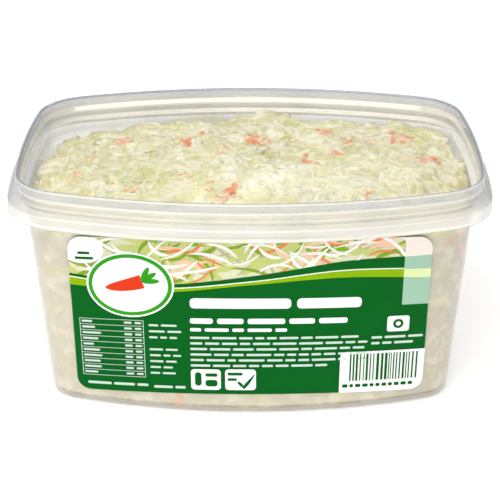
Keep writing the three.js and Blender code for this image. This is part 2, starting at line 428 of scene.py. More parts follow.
def clear_plastic(settings):
    made = Finish("clear_plastic")
    ripple = made.noise(70, 2)
    milk = made.painted("milk")
    # The painted light attribute blends the painted shade grey into the painted highlight colour, with a little
    # random ripple.
    light = made.painted("light") + 0.3 * (ripple - 0.63)
    facing = made.node("ShaderNodeLayerWeight", Blend=0.5, output="Facing")
    cover = milk + (settings.edge - milk) * facing**EDGE_POWER
    # The round foot takes the darker painted shade.
    foot = ((FOOT_ROUND + 1 * MM - made.split(made.place)[2]) / MM).share()
    grey = made.blend(foot, rgba(settings.grey), rgba(settings.foot))
    return made.done(
        cover,
        Base_Color=made.blend(light, grey, rgba(settings.light)),
        Roughness=settings.roughness + 0.06 * ripple,
        IOR=2.0,
        Specular_IOR_Level=1.0,
        Normal=made.bump(ripple, 0.05, 0.4 * MM),
    )


# How late the plastic closes up as a face turns away.
EDGE_POWER = 3.2
# Painted shade: towards both ends the plastic's painted light is lower, so it looks greyer: places along the
# tub, and the shares of its lightness that stay.
OUTER_END_SHADES = (mm(-84, -74, -60, 60, 74, 84), (0.5, 0.94, 1.0, 1.0, 0.94, 0.5))
INNER_END_SHADES = (mm(-78, -58), (0.74, 1.0))
# The small upright ribs on the skirt: their direction from the corner's centre, their plan, and their milk and
# painted highlight.
RIB_HEADING = math.radians(-37)
RIB_PLAN = (mm(-0.3, -0.35), mm(0.25, -0.25), mm(0.25, 0.25), mm(-0.3, 0.35))
RIB_MILK_AND_HIGHLIGHT = 0.95


def tub_section():
    """The wall's section from the base out, up the outside and down the inside.

    Each point has its offset and height, the radius that rounds it in millimetres, how milky it is, and how
    much painted light it carries: near 1 a painted highlight, near 0 painted grey shade.
    """
    under_flange = FLANGE_TOP - 1.2 * MM
    inside_step = FLANGE_TOP - 0.5 * MM
    root = wall_offset(under_flange)
    lip_in = LIP_OUT - LIP_THICK
    foot_slope = wall_offset(FOOT_ROUND) - wall_offset(0)
    skirt_in = SKIRT_OUT - WALL
    step_in = STEP_OUT - WALL
    rows = [
        # Each row ends with milk, how much the plastic covers, and painted light: near 1 a painted highlight,
        # near 0 painted grey shade, as in the round foot.
        (-FOOT_TAPER - FOOT_ROUND, 0, 2.2, 0.3, 0.4),
        (wall_offset(0) + 0.1 * foot_slope - 0.3 * MM, 0.6 * MM, 1.0, 0.12, 0.35),
        (wall_offset(FOOT_ROUND), FOOT_ROUND - 0.1 * MM, 0.3, 0.15, 0.4),
        (wall_offset(FOOT_ROUND), FOOT_ROUND + 0.2 * MM, 0, 0.18, 0.9),
        (wall_offset(4.2 * MM), 4.2 * MM, 0, 0.18, 0.9),
        (wall_offset(70 * MM), 70 * MM, 0, 0.18, 0.9),
        # Painted shade just under the skirt.
        (wall_offset(SKIRT_FOOT), SKIRT_FOOT, 0, 0.5, 0.35),
        (root, under_flange, 0.3, 0.3, 0.8),
        (skirt_in - 0.15 * MM, FLANGE_TOP - WALL, 0.3, 0.3, 0.8),
        (skirt_in, SKIRT_FOOT, 0.12, 0.2, 0.9),
        (SKIRT_OUT, SKIRT_FOOT, 0.2, 0.6, 0.45),
        (SKIRT_OUT, SKIRT_FOOT + 0.5 * MM, 0, 0.75, 1.0),
        (SKIRT_OUT, SKIRT_FOOT + 1.2 * MM, 0, 0.7, 1.0),
        (SKIRT_OUT, SKIRT_FOOT + 1.8 * MM, 0, 0.5, 1.0),
        (SKIRT_OUT - 0.1 * MM, FLANGE_TOP - 0.9 * MM, 0, 0.5, 1.0),
        (SKIRT_OUT - 0.15 * MM, FLANGE_TOP, 0.7, 0.75, 1.0),
        (STEP_OUT + 0.6 * MM, FLANGE_TOP, 0, 0.75, 1.0),
        (STEP_OUT, FLANGE_TOP, 0.6, 0.45, 0.6),
        (STEP_OUT, FLANGE_TOP + 0.9 * MM, 0, 0.75, 1.0),
        (STEP_OUT, FLANGE_TOP + 1.5 * MM, 0, 0.75, 1.0),
        (STEP_OUT, FLANGE_TOP + 1.8 * MM, 0, 0.4, 0.8),
        (STEP_OUT, LEDGE_LOW + 0.2 * MM, 0.4, 0.4, 0.8),
        (LIP_OUT, LEDGE_HIGH + 0.2 * MM, 0.4, 0.75, 1.0),
        (LIP_OUT, LEDGE_HIGH + 0.8 * MM, 0, 0.5, 0.4),
        (LIP_OUT, TUB_HEIGHT - 0.7 * MM, 0, 0.5, 0.48),
        (LIP_OUT, TUB_HEIGHT, 0.5, 0.7, 1.0),
        (lip_in, TUB_HEIGHT, 0.5, 0.85, 0.0),
        (lip_in, TUB_HEIGHT - 0.9 * MM, 0, 0.42, 0.35),
        (lip_in, LEDGE_HIGH + 0.5 * MM, 0, 0.42, 0.35),
        (lip_in, LEDGE_HIGH, 0.4, 0.9, 1.0),
        (step_in, LEDGE_LOW, 0.4, 0.9, 1.0),
        (step_in, LEDGE_LOW - 0.6 * MM, 0, 0.4, 0.55),
        (step_in, inside_step + 0.7 * MM, 0, 0.4, 0.6),
        (step_in, inside_step, 0.5, 0.8, 1.0),
        (root - WALL, inside_step - 0.1 * MM, 0.35, 0.8, 1.0),
        (wall_offset(76.4 * MM) - WALL, 76.4 * MM, 0, 0.34, 0.5),
        (wall_offset(60 * MM) - WALL, 60 * MM, 0, 0.34, 0.6),
        (wall_offset(FOOT_ROUND + FLOOR) - WALL, FOOT_ROUND + FLOOR, 1, 0.2, 0.8),
        (wall_offset(0) - WALL - 0.4 * MM, FLOOR + 0.9 * MM, 1.6, 0.2, 0.8),
        (-FOOT_TAPER - WALL - FOOT_ROUND, FLOOR, 2, 0.2, 0.8),
    ]
    return [(offset, z, radius * MM, milk, light) for offset, z, radius, milk, light in rows]


def rounded_section(section, steps=4):
    """The section with each inner corner turned into an arc of its own radius."""
    points = [np.array(p[:2]) for p in section]
    looks = [p[3:] for p in section]
    out = [(*points[0], *looks[0])]
    for i, (before, here, after) in enumerate(zip(points, points[1:], points[2:]), 1):
        radius = section[i][2]
        if not radius:
            out.append((*here, *looks[i]))
            continue
        a = (before - here) / np.linalg.norm(before - here)
        b = (after - here) / np.linalg.norm(after - here)
        half = math.acos(max(-1, min(1, float(a @ b)))) / 2
        room = 0.45 * min(np.linalg.norm(before - here), np.linalg.norm(after - here))
        cut = min(radius / math.tan(half), room)
        start = here + a * cut
        end = here + b * cut
        for t in np.linspace(0, 1, steps):
            out.append((*(start * (1 - t) ** 2 + here * 2 * t * (1 - t) + end * t**2), *looks[i]))
    return out + [(*points[-1], *looks[-1])]


def skirt_rib(side_x, side_y):
    """One of the small upright ribs at the skirt's corners, as eight points and the faces of a box."""
    out = np.array([math.cos(RIB_HEADING), math.sin(RIB_HEADING)])
    along = np.array([-out[1], out[0]])
    points = []
    for z in (SKIRT_FOOT + 0.1 * MM, FLANGE_TOP - 0.8 * MM):
        for reach, aside in RIB_PLAN:
            place = np.array(CORNER_CENTRE) + out * (CORNER + SKIRT_OUT + reach) + along * aside
            points.append((place[0] * side_x, -place[1] * side_y, z))
    quads = [(3, 2, 1, 0), (4, 5, 6, 7), (0, 1, 5, 4), (1, 2, 6, 5), (2, 3, 7, 6), (3, 0, 4, 7)]
    faces = [t for q in quads for t in ((q[0], q[1], q[2]), (q[0], q[2], q[3]))]
    if side_x * side_y > 0:
        faces = [f[::-1] for f in faces]
    return np.array(points), np.array(faces)


class COLESLAW_OT_tub(bpy.types.Operator):
    """Make the clear tub with its stepped rim"""

    bl_idname = "coleslaw.tub"
    bl_label = "Tub"

    def execute(self, context):
        section = rounded_section(tub_section())
        rings = [level_ring(offset, z) for offset, z, _, _ in section]
        points, faces = swept_body(rings, (0, 0, 0), (0, 0, FLOOR))
        looks = np.repeat(np.array([ring[2:] for ring in section]), len(rings[0]), 0)
        looks = np.concatenate([looks[:1], looks, looks[-1:]])
        lip = int(np.argmax([z for _, z, _, _ in section]))
        inner = 1 + len(rings[0]) * (lip + 1)
        # Painted shade: the painted light falls towards both ends, outside and inside apart.
        looks[:inner, 1] *= np.interp(points[:inner, 0], *OUTER_END_SHADES)
        looks[inner:, 1] *= np.interp(points[inner:, 0], *INNER_END_SHADES)
        for sides in ((-1, -1), (-1, 1), (1, -1), (1, 1)):
            rib_points, rib_faces = skirt_rib(*sides)
            faces = np.concatenate([faces, rib_faces + len(points)])
            points = np.concatenate([points, rib_points])
            # The ribs carry a painted highlight.
            looks = np.concatenate([looks, np.full((len(rib_points), 2), RIB_MILK_AND_HIGHLIGHT)])
        tub = new_piece("tub_wall", points, faces, clear_plastic(context.scene.coleslaw_tub))
        for column, name in enumerate(("milk", "light")):
            paint(tub, name, looks[:, column])
        smooth(tub, 50)
        settle(tub, "clear_plastic", "tub")
        return {"FINISHED"}


# Salad

class SaladSettings(bpy.types.PropertyGroup):
    """The filling's make-up and colours."""

    dressing: colour_property("Dressing", "Colour of the creamy dressing", screen(246, 238, 200))
    side: colour_property("Side", "Colour of the filling where it lies against the wall", screen(213, 202, 178))
    haze: colour_property("Haze", "Colour of the thin haze of dressing on the back wall", screen(214, 220, 196))
    relief_shreds: count_property("Coated shreds", "Shreds that show as relief under the dressing", 2500)
    cabbage: count_property("Cabbage", "Loose shreds of white cabbage", 1100)
    green: count_property("Green", "Loose shreds of pale green cabbage", 700)
    carrot: count_property("Carrot", "Bits of carrot in 25 square millimetres of a cluster", 7)


# Painted shade: the filling is this much darker in the round foot.
FOOT_SHADE = np.array([0.45, 0.385, 0.29])
# Painted shade: its sides are a little darker towards both ends: places along the tub, and the shares that stay.
SIDE_SHADES = (mm(-80, -60, 40, 78), (0.9, 1.0, 0.98, 0.77))
# The haze of dressing on the back wall: from left to right, its low edge, its top at both ends, and its grid.
HAZE_REACH = mm(-46, -6)
HAZE_LOW = 66 * MM
HAZE_TOP = mm(72.5, 77)
HAZE_COLUMNS = 25
HAZE_ROWS = 9
# The filling's outline, as finely as its relief needs.
CORE_STEPS = {"long": 56, "corner": 26, "short": 42}
# Rings of points up its sides, then up to their edge, and over its top.
SIDE_RINGS = 52
EDGE_RINGS = 10
TOP_RINGS = 114
# Below this level the sides are plain, and above it they end in the heap's own edge.
PLAIN_SIDE = 60 * MM
# The filling reaches this far into the wall and the base, so that no air shows between them.
REACH_IN = 0.1 * MM
# The salad's bed lies this far under the heap's nominal surface, and its relief may rise this far over the heap.
BED_DEPTH = 0.4 * MM
RELIEF_RISE = 0.8 * MM
SOFT_LUMPS = 520
SMALL_PATCHES = 110
# Coated shreds: from the least to the most length, width and rise in millimetres, and strength of colour.
COATED_LENGTH = (4, 16)
COATED_WIDTH = (1.0, 3.8)
COATED_RISE = (0.3, 1.15)
COATED_STRENGTH = (0.35, 1.0)
WHITE_SHARE = 0.62
# The finish of the heap's top sets in from the first of these levels to the second.
TOP_LEVELS = mm(66, 69)
SIDE_SPOTS = 520
# The spots' angles round the tub become lengths along its wall at this radius.
SPOT_RADIUS = 66 * MM
CABBAGE_TINTS = tints((0, 230, 222, 170), (0.35, 242, 236, 206), (0.65, 222, 216, 174), (1, 246, 242, 224))
GREEN_TINTS = tints((0, 218, 218, 156), (0.45, 208, 212, 136), (0.8, 194, 200, 124), (1, 174, 178, 112))
CARROT_TINTS = tints((0, 244, 146, 98), (0.5, 240, 124, 80), (1, 248, 178, 132))
# The spots against the wall: each kind's colours, up to a share of all the spots.
SPOT_KINDS = ((0.16, CARROT_TINTS), (0.55, GREEN_TINTS), (1, CABBAGE_TINTS))
STRAND_TINTS = tints((0.32, 196, 190, 128), (0.43, 222, 212, 162), (0.52, 242, 234, 196), (0.62, 255, 251, 232))
# Broad patches of tone: plan place and reach in millimetres, colour on screen, and strength. The pale ones crowd
# to the front, partly dressing and partly painted light where the light falls brightest.
TONE_PATCHES = [
    (4, -26, 15, (255, 254, 236), 0.95), (24, -30, 14, (255, 254, 228), 0.95),
    (12, -12, 10, (255, 253, 232), 0.8), (38, -24, 11, (255, 254, 226), 0.85),
    (-2, -38, 9, (255, 247, 184), 0.7), (12, -42, 8, (255, 247, 184), 0.6),
    (-14, -32, 10, (255, 252, 206), 0.8), (48, -14, 14, (254, 247, 220), 0.7),
    (-6, 0, 7, (255, 252, 236), 0.6), (-30, 16, 14, (206, 198, 160), 0.45),
    (-6, 16, 12, (204, 198, 160), 0.5), (50, 26, 12, (196, 190, 150), 0.5),
    (-58, 4, 14, (214, 206, 168), 0.4), (14, 40, 9, (232, 226, 168), 0.6),
    (-36, -8, 8, (198, 204, 140), 0.45), (20, 2, 7, (206, 210, 130), 0.45),
]
# Shades of the smaller patches between them.
PATCH_SHADES = [
    (182, 176, 126), (206, 196, 154), (220, 222, 136), (254, 248, 214), (226, 218, 190), (200, 204, 128),
]
# Carrot lies in little clusters: plan place in millimetres, and how wide each spreads.
CARROT_CLUSTERS = [
    (-9, -28, 4.2), (-4, -24, 2.0), (-48, 20, 2.6), (-25, 14, 2.8), (-18, 22, 1.8), (-63, -13, 2.2),
    (-24, -18, 2.0), (2, 16, 3.0), (8, -7, 2.4), (23, -4, 2.6), (29, 28, 2.4), (30, 2, 1.6), (58, 26, 3.0),
    (62, -3, 3.0), (66, 0, 1.8), (36, 22, 1.6), (46, 24, 1.8), (-10, 6, 1.4), (18, 20, 1.6), (-40, -26, 1.6),
    (40, -32, 1.4), (-56, 0, 1.2),
]


def distance_to_wall(x, y):
    """How far places in plan lie from the tub's wall, less 1.5 mm."""
    from_ends = HALF_LENGTH - y * y / (2 * SHORT_SIDE_BOW) - np.abs(x)
    from_sides = HALF_WIDTH - x * x / (2 * LONG_SIDE_BOW) - np.abs(y)
    return np.maximum(0, np.minimum(from_ends, from_sides) - 1.5 * MM)


def make_lumps():
    draw = even_random("lumps")
    lumps = [RIDGE, *HOLLOWS]
    for _ in range(LUMP_COUNT):
        x = draw(-HALF_LENGTH, HALF_LENGTH)
        y = draw(-HALF_WIDTH, HALF_WIDTH)
        reach = draw(*mm(6, 12))
        lumps.append((x, y, reach, draw(*mm(-2.2, 2.4))))
    return lumps


def heap_height(x, y, lumps):
    """The height of the heap over places in plan, as in the solid but for a narrower ridge."""
    u = x / HALF_LENGTH
    v = y / HALF_WIDTH
    front = lerp(DROP["front_left"], DROP["front_right"], (u + 1) / 2)
    back = lerp(DROP["back_left"], DROP["back_right"], (u + 1) / 2)
    drop = lerp(front, back, (v + 1) / 2) * np.exp(-distance_to_wall(x, y) / DROP_REACH)
    height = PLATEAU + CROWN * (1 - u * u) * (1 - v * v) - drop
    for *place, reach, rise in lumps:
        height = height + rise * mound(x, y, *place, reach)
    return np.minimum(height, HIGHEST)


def tint(stops, t):
    """The colour at t along a list of stops."""
    places = [place for place, _ in stops]
    return np.array([np.interp(t, places, [colour[k] for _, colour in stops]) for k in range(3)])


def soft_lumps(x, y):
    """Lumps and hollows of a few millimetres that the dressing makes between the shreds."""
    random = np.random.default_rng(SEEDS["soft_lumps"])
    rise = np.zeros(len(x))
    for _ in range(SOFT_LUMPS):
        at_x = random.uniform(-HALF_LENGTH, HALF_LENGTH)
        at_y = random.uniform(-HALF_WIDTH, HALF_WIDTH)
        reach = random.uniform(1.8, 7) * MM
        rise += random.uniform(-0.32, 0.32) * reach * mound(x, y, at_x, at_y, reach)
    return rise * np.minimum(1, distance_to_wall(x, y) / (3 * MM))


def bed_height(x, y, lumps):
    """The height of the salad's bed, which coated and loose shreds lie on."""
    return heap_height(x, y, lumps) + soft_lumps(x, y) - BED_DEPTH


def softened(grid, passes):
    """Heights on the rings' grid, averaged with their neighbours along and across the rings."""
    for _ in range(passes):
        around = (np.roll(grid, 1, 1) + np.roll(grid, -1, 1)) / 2
        across = np.concatenate([grid[:1], (grid[:-2] + grid[2:]) / 2, grid[-1:]])
        grid = 0.4 * grid + 0.3 * around + 0.3 * across
    return grid


def coated_shreds(x, y, height, colour, settings):
    """Lays shreds one over another on the surface as flat-topped ridges, each with its own colour."""
    random = np.random.default_rng(SEEDS["coated_shreds"])
    dressing = np.array(settings.dressing)
    for _ in range(settings.relief_shreds):
        at_x = random.uniform(-HALF_LENGTH, HALF_LENGTH)
        at_y = random.uniform(-HALF_WIDTH, HALF_WIDTH)
        length = random.uniform(*COATED_LENGTH) * MM
        width = lerp(*COATED_WIDTH, random.uniform() ** 2) * MM
        heading = random.uniform(0, math.pi)
        bend = random.uniform(-0.9, 0.9) / (22 * MM)
        near = np.flatnonzero((np.abs(x - at_x) < length * 0.6) & (np.abs(y - at_y) < length * 0.6))
        dx = x[near] - at_x
        dy = y[near] - at_y
        along = dx * math.cos(heading) + dy * math.sin(heading)
        across = -dx * math.sin(heading) + dy * math.cos(heading) - bend * along**2
        side = np.abs(across) / (width / 2)
        end = np.abs(along) / (length / 2)
        within = (side < 1) & (end < 1)
        if within.sum() < 4:
            continue
        near = near[within]
        base = np.median(height[near])
        crown = np.sqrt(1 - side[within] ** 4) * np.sqrt(1 - end[within] ** 8)
        thick = random.uniform(*COATED_RISE) * MM
        slope = random.uniform(-0.06, 0.06) * along[within]
        top = base + slope - 0.25 * MM + thick * crown
        over = top > height[near]
        shown = near[over]
        height[shown] = top[over]
        stops = CABBAGE_TINTS if random.uniform() < WHITE_SHARE else GREEN_TINTS
        strength = random.uniform(*COATED_STRENGTH)
        colour[shown] = lerp(dressing, tint(stops, random.uniform()), strength)


def salad_core_mesh(settings, lumps):
    """Points, faces and colours of the filling: sides that reach into the wall and a surface with relief."""
    inset = WALL - REACH_IN
    floor = FLOOR - REACH_IN
    levels = [
        (-FOOT_TAPER - inset - FOOT_ROUND, floor),
        (wall_offset(0) - inset - 0.9 * MM, floor + 0.8 * MM),
        (wall_offset(FOOT_ROUND) - inset, FOOT_ROUND + 0.2 * MM),
    ]
    levels += [(wall_offset(z) - inset, z) for z in np.linspace(3.6 * MM, PLAIN_SIDE, SIDE_RINGS)]
    rings = [level_ring(offset, z, CORE_STEPS) for offset, z in levels]
    plain, nominal = (plan_outline(wall_offset(z) - inset, CORE_STEPS) for z in (PLAIN_SIDE, PLATEAU))
    edge_z = bed_height(nominal[:, 0], nominal[:, 1], lumps)
    for part in np.linspace(0.1, 1, EDGE_RINGS):
        z = lerp(PLAIN_SIDE, edge_z, part)
        t = ((z - PLAIN_SIDE) / (PLATEAU - PLAIN_SIDE))[:, None]
        rings.append(np.column_stack([lerp(plain, nominal, t), z]))
    side_count = len(rings)
    edge = rings[-1]
    for scale in np.linspace(1, 0, TOP_RINGS + 2)[1:-1]:
        xy = edge[:, :2] * scale
        rings.append(np.column_stack([xy, bed_height(xy[:, 0], xy[:, 1], lumps)]))
    middle_z = bed_height(np.zeros(1), np.zeros(1), lumps)[0]
    points, faces = swept_body(rings, (0, 0, floor), (0, 0, middle_z))
    top = np.append(np.arange(len(points) - 1) > side_count * len(nominal), True)
    colour = np.where(top[:, None], np.array(settings.dressing), np.array(settings.side))
    # Painted shade in the round foot.
    colour[points[:, 2] < FOOT_ROUND + 0.4 * MM] *= FOOT_SHADE
    # Painted shade on the sides towards both ends.
    colour[~top] *= np.interp(points[~top, 0], *SIDE_SHADES)[:, None]
    x, y, z = points[top].T.copy()
    shade = colour[top]
    coated_shreds(x, y, z, shade, settings)
    z[:-1] = softened(z[:-1].reshape(-1, len(nominal)), 1).ravel()
    points[top, 2] = np.minimum(z, HIGHEST + RELIEF_RISE)
    colour[top] = shade
    return points, faces, colour, top


def tone_patches(points, colour, top):
    """Broad patches where the salad is greyer with leaf, or paler with dressing and, towards the front, with
    painted light.
    """
    draw = even_random("small_patches")
    small = []
    for _ in range(SMALL_PATCHES):
        shade = PATCH_SHADES[int(draw(0, len(PATCH_SHADES)))]
        small.append((draw(-78, 78), draw(-52, 52), draw(2.5, 8), shade, draw(0.3, 0.75)))
    for x, y, reach, shade, strength in small + TONE_PATCHES:
        near = mound(points[:, 0], points[:, 1], *mm(x, y, reach))
        share = (near * strength * top)[:, None]
        colour[:] = lerp(colour, np.array(screen(*shade)), share)


def side_spots(points, colour, sides):
    """Shreds and bits of carrot that show faintly where they lie against the wall."""
    random = np.random.default_rng(SEEDS["side_spots"])
    around = np.arctan2(points[:, 1] / HALF_WIDTH, points[:, 0] / HALF_LENGTH)
    for _ in range(SIDE_SPOTS):
        a = random.uniform(-math.pi, math.pi)
        z = random.uniform(*mm(2, 74))
        turn = random.uniform(0, math.pi)
        length = random.uniform(2, 8) * MM
        width = random.uniform(0.8, 1.8) * MM
        along_wall = np.angle(np.exp(1j * (around - a))) * SPOT_RADIUS
        up = points[:, 2] - z
        along = along_wall * math.cos(turn) + up * math.sin(turn)
        across = -along_wall * math.sin(turn) + up * math.cos(turn)
        away = (along / length) ** 2 + (across / width) ** 2
        kind = random.uniform()
        stops = next(colours for share, colours in SPOT_KINDS if kind < share)
        share = random.uniform(0.12, 0.55) * np.clip(1.5 - away, 0, 1) * sides
        colour[:] = lerp(colour, tint(stops, random.uniform()), share[:, None])


def soft(weight, *reach):
    """How much light goes into a soft shred, and how far its red, green and blue go, in millimetres."""
    return {"Subsurface_Weight": weight, "Subsurface_Radius": mm(*reach), "Subsurface_Scale": 1.0}


def dressed_finish():
    made = Finish("dressed_salad")
    _, along_y, height = made.split(made.place)
    low, high = TOP_LEVELS
    top = ((height - low) / (high - low)).share()
    # Painted light: the top is painted yellower towards the front, where the light falls brightest.
    front = ((along_y + 8 * MM) / (-20 * MM)).share()
    pools = made.noise(150, 4)
    patches = made.noise(62, 3, 0.6)
    strands = made.noise(170, 4, 1.6)
    fine = made.noise(900, 3, 0.8)
    # Pools of dressing, whitened partly as painted highlights on the gloss.
    white = made.grade(pools * 0.6 + strands * 0.4, 0.48, 0.6)
    olive = made.grade(patches, 0.36, 0.52, 1, 0)
    shade = made.painted("shred_colour", "Color")
    for share, colour in (
        (olive * top * 0.4, screen(192, 184, 136)),
        (top * 0.22, made.ramp(strands, STRAND_TINTS)),
        # Painted light at the front.
        (front * top * 0.2, screen(253, 247, 172)),
        (0.12 * fine, screen(198, 188, 140)),
        (white * (0.3 + 0.25 * top), screen(255, 251, 236)),
    ):
        shade = made.blend(share, shade, colour if isinstance(colour, Value) else rgba(colour))
    return made.done(
        Base_Color=shade,
        Roughness=0.28 + 0.2 * fine,
        Specular_IOR_Level=0.65,
        Normal=made.bump(pools * 0.5 + strands * 0.6 + fine * 0.12, 0.6, 0.8 * MM),
        **soft(0.25, 1.6, 1.2, 0.7),
    )


def haze_strip():
    """A thin strip on the inside of the back wall, and how thick the haze of dressing is along it."""
    rings = []
    haze = []
    for part in np.linspace(0, 1, HAZE_COLUMNS):
        x = lerp(*HAZE_REACH, part)
        top = lerp(*HAZE_TOP, math.sin(part * math.pi / 2))
        up = np.linspace(0, 1, HAZE_ROWS)
        z = lerp(HAZE_LOW, top, up)
        layers = []
        for away in mm(0.3, 0.05):
            radius = LONG_SIDE_BOW + wall_offset(z) - WALL - away
            y = HALF_WIDTH - LONG_SIDE_BOW + np.sqrt(radius**2 - x * x)
            layers.append(np.column_stack([np.full(HAZE_ROWS, x), y, z]))
        rings.append(np.concatenate([layers[0], layers[1][::-1]]))
        fade = (1 - up**3) * min(1, 5 * part, 5 * (1 - part))
        haze.append(np.concatenate([fade, fade[::-1]]))
    points, faces = swept_body(rings, rings[0].mean(0), rings[-1].mean(0))
    return points, faces, np.concatenate([[0], np.concatenate(haze), [0]])


def haze_finish(settings):
    made = Finish("dressing_haze")
    smears = made.noise(260, 3, 0.5)
    return made.done(
        made.painted("haze") * (0.35 + 0.5 * smears),
        Base_Color=made.blend(smears, rgba(settings.haze), rgba(settings.dressing)),
        Roughness=0.35 + 0.1 * smears,
        Specular_IOR_Level=0.4,
    )


class COLESLAW_OT_filling(bpy.types.Operator):
    """Make the mass of dressed salad that fills the tub"""

    bl_idname = "coleslaw.filling"
    bl_label = "Filling"

    def execute(self, context):
        settings = context.scene.coleslaw_salad
        lumps = make_lumps()
        points, faces, colour, top = salad_core_mesh(settings, lumps)
        tone_patches(points, colour, top)
        side_spots(points, colour, ~top)
        filling = new_piece("salad_mass", points, faces, dressed_finish())
        painted = filling.data.color_attributes.new("shred_colour", "FLOAT_COLOR", "POINT")
        painted.data.foreach_set("color", np.column_stack([colour, np.ones(len(colour))]).ravel())
        filling.data.shade_smooth()
        settle(filling, "salad", "salad")
        points, faces, haze = haze_strip()
        strip = new_piece("dressing_haze", points, faces, haze_finish(settings))
        paint(strip, "haze", haze)
        smooth(strip)
        settle(strip, "salad")
        return {"FINISHED"}


# Loose shreds

# The kinds of loose shreds: their measures, how deep they sink in, how many sides they have, and their seed.
SHRED_KINDS = {
    name: {**dict(zip(("Length", "Width", "Thickness", "Sink"), mm(*sizes))), "Sides": sides, "Seed": seed}
    for name, *sizes, sides, seed in (
        ("cabbage_shreds", 12, 2.0, 0.6, 0.38, 7, 3),
        ("green_shreds", 8.5, 1.9, 0.5, 0.34, 7, 17),
        ("carrot_bits", 4.6, 1.6, 1.1, 0.3, 6, 41),
    )
}
SHRED_VARIANTS = 5
# Every second point of the heap's rings carries the skin that shreds lie on, evened out this often.
SKIN_PASSES = 8
CROWDED_SPOTS = 18
# No shred is rooted nearer than this to the heap's rim.
RIM_ROOM = 3 * MM


def shred_finish(name, stops, roughness):
    made = Finish(name)
    veins = made.noise(420, 3, 0.5)
    coat = made.noise(230, 2)
    colour = made.ramp(made.painted("tint") * 0.85 + veins * 0.15, stops)
    coated = 0.15 + made.grade(coat, 0.4, 0.6) * 0.65
    return made.done(
        Base_Color=made.blend(coated, colour, rgba(screen(246, 239, 204))),
        Roughness=roughness + 0.15 * veins,
        Specular_IOR_Level=0.6,
        Normal=made.bump(veins, 0.3, 0.3 * MM),
        **soft(0.2, 1.4, 1.0, 0.5),
    )


def shred_tree():
    """Scatters bent shreds over a surface and drapes them on it."""
    tree = bpy.data.node_groups.new("scattered_shreds", "GeometryNodeTree")
    made = Nodes(tree)
    tree.interface.new_socket("Geometry", in_out="OUTPUT", socket_type="NodeSocketGeometry")
    for kind, names in (
        ("Geometry", ("Geometry",)),
        ("Float", ("Density", "Length", "Width", "Thickness", "Sink")),
        ("Int", ("Sides", "Seed")),
        ("Material", ("Material",)),
    ):
        for name in names:
            tree.interface.new_socket(name, in_out="INPUT", socket_type="NodeSocket" + kind)
    given = made.node("NodeGroupInput")
    read = {s.name: Value(made, s) for s in given.socket.node.outputs if s.name}

    def painted(name):
        return made.node("GeometryNodeInputNamedAttribute", Name=name)

    def drawn(low, high, offset, kind="FLOAT"):
        random = made.node(
            "FunctionNodeRandomValue", settings={"data_type": kind}, Seed=read["Seed"] + offset,
            ID=made.node("GeometryNodeInputIndex"), output={"FLOAT": 1, "INT": 2, "FLOAT_VECTOR": 0}[kind])
        first = {"FLOAT": 2, "INT": 4, "FLOAT_VECTOR": 0}[kind]
        for place, value in ((first, low), (first + 1, high)):
            made.put(random.socket.node.inputs[place], value)
        return random

    room = painted("room")
    density = read["Density"] * painted("crowd") * (room > RIM_ROOM)
    points = made.node(
        "GeometryNodeDistributePointsOnFaces", Mesh=read["Geometry"], Density=density, Seed=read["Seed"])
    x, y, _ = made.split(made.node("GeometryNodeInputPosition"))
    points = made.node("GeometryNodeSetPosition", Geometry=points, Position=made.vector(X=x, Y=y))
    kinds = made.node("GeometryNodeJoinGeometry", Geometry=shred_variants(made, read))
    turn = drawn((-0.12, -0.06, 0.0), (0.12, 0.06, math.tau), 1, "FLOAT_VECTOR")
    fit = (room / (read["Length"] * 0.7)).least(drawn(0.45, 1.25, 2))
    scale = made.vector(X=fit, Y=fit, Z=drawn(0.7, 1.3, 4))
    pick = drawn(0, SHRED_VARIANTS - 1, 5, "INT")
    instances = made.node(
        "GeometryNodeInstanceOnPoints", Points=points, Instance=kinds, Pick_Instance=True,
        Instance_Index=pick, Rotation=turn, Scale=scale)
    instances = made.node(
        "GeometryNodeStoreNamedAttribute", settings={"data_type": "FLOAT", "domain": "INSTANCE"},
        Geometry=instances, Name="tint", Value=drawn(0.0, 1.0, 6))
    real = made.node("GeometryNodeRealizeInstances", Geometry=instances)
    x, y, z = made.split(made.node("GeometryNodeInputPosition"))
    struck = made.node(
        "GeometryNodeRaycast", Target_Geometry=read["Geometry"], Source_Position=made.vector(X=x, Y=y, Z=0.5),
        Ray_Direction=(0, 0, -1), Ray_Length=1.0, output="Hit Position")
    draped = made.vector(X=x, Y=y, Z=made.split(struck)[2] + z - read["Sink"])
    laid = made.node("GeometryNodeSetPosition", Geometry=real, Position=draped)
    final = made.node("GeometryNodeSetMaterial", Geometry=laid, Material=read["Material"])
    made.node("NodeGroupOutput", Geometry=final)
    return tree


def shred_variants(made, read):
    """Differently bent and arched shreds, each as an instance to pick from."""
    draw = even_random("shred_variants")
    length, width, thick = (read[name] for name in ("Length", "Width", "Thickness"))
    shapes = []
    for _ in range(SHRED_VARIANTS):
        half = length * 0.5
        start = made.vector(X=half * -1.0)
        middle = made.vector(
            X=length * draw(-0.1, 0.1), Y=length * draw(-0.35, 0.35), Z=thick * draw(0.2, 1.1))
        end = made.vector(X=half, Z=thick * draw(-0.4, 0.5))
        line = made.node("GeometryNodeCurveQuadraticBezier", Resolution=8, Start=start, Middle=middle, End=end)
        along = made.node("GeometryNodeSplineParameter", output="Factor")
        taper = 1 - ((along * 2 - 1) ** 4) * 0.55
        line = made.node("GeometryNodeSetCurveRadius", Curve=line, Radius=taper)
        twist = (along - 0.5) * draw(-1.1, 1.1)
        line = made.node("GeometryNodeSetCurveTilt", Curve=line, Tilt=twist)
        ring = made.node("GeometryNodeCurvePrimitiveCircle", Resolution=read["Sides"], Radius=0.5)
        squash = made.vector(X=width, Y=thick, Z=1.0)
        ring = made.node("GeometryNodeTransform", Geometry=ring, Scale=squash)
        strip = made.node("GeometryNodeCurveToMesh", Curve=line, Profile_Curve=ring, Fill_Caps=True)
        shapes.append(made.node("GeometryNodeGeometryToInstance", Geometry=strip))
    return shapes


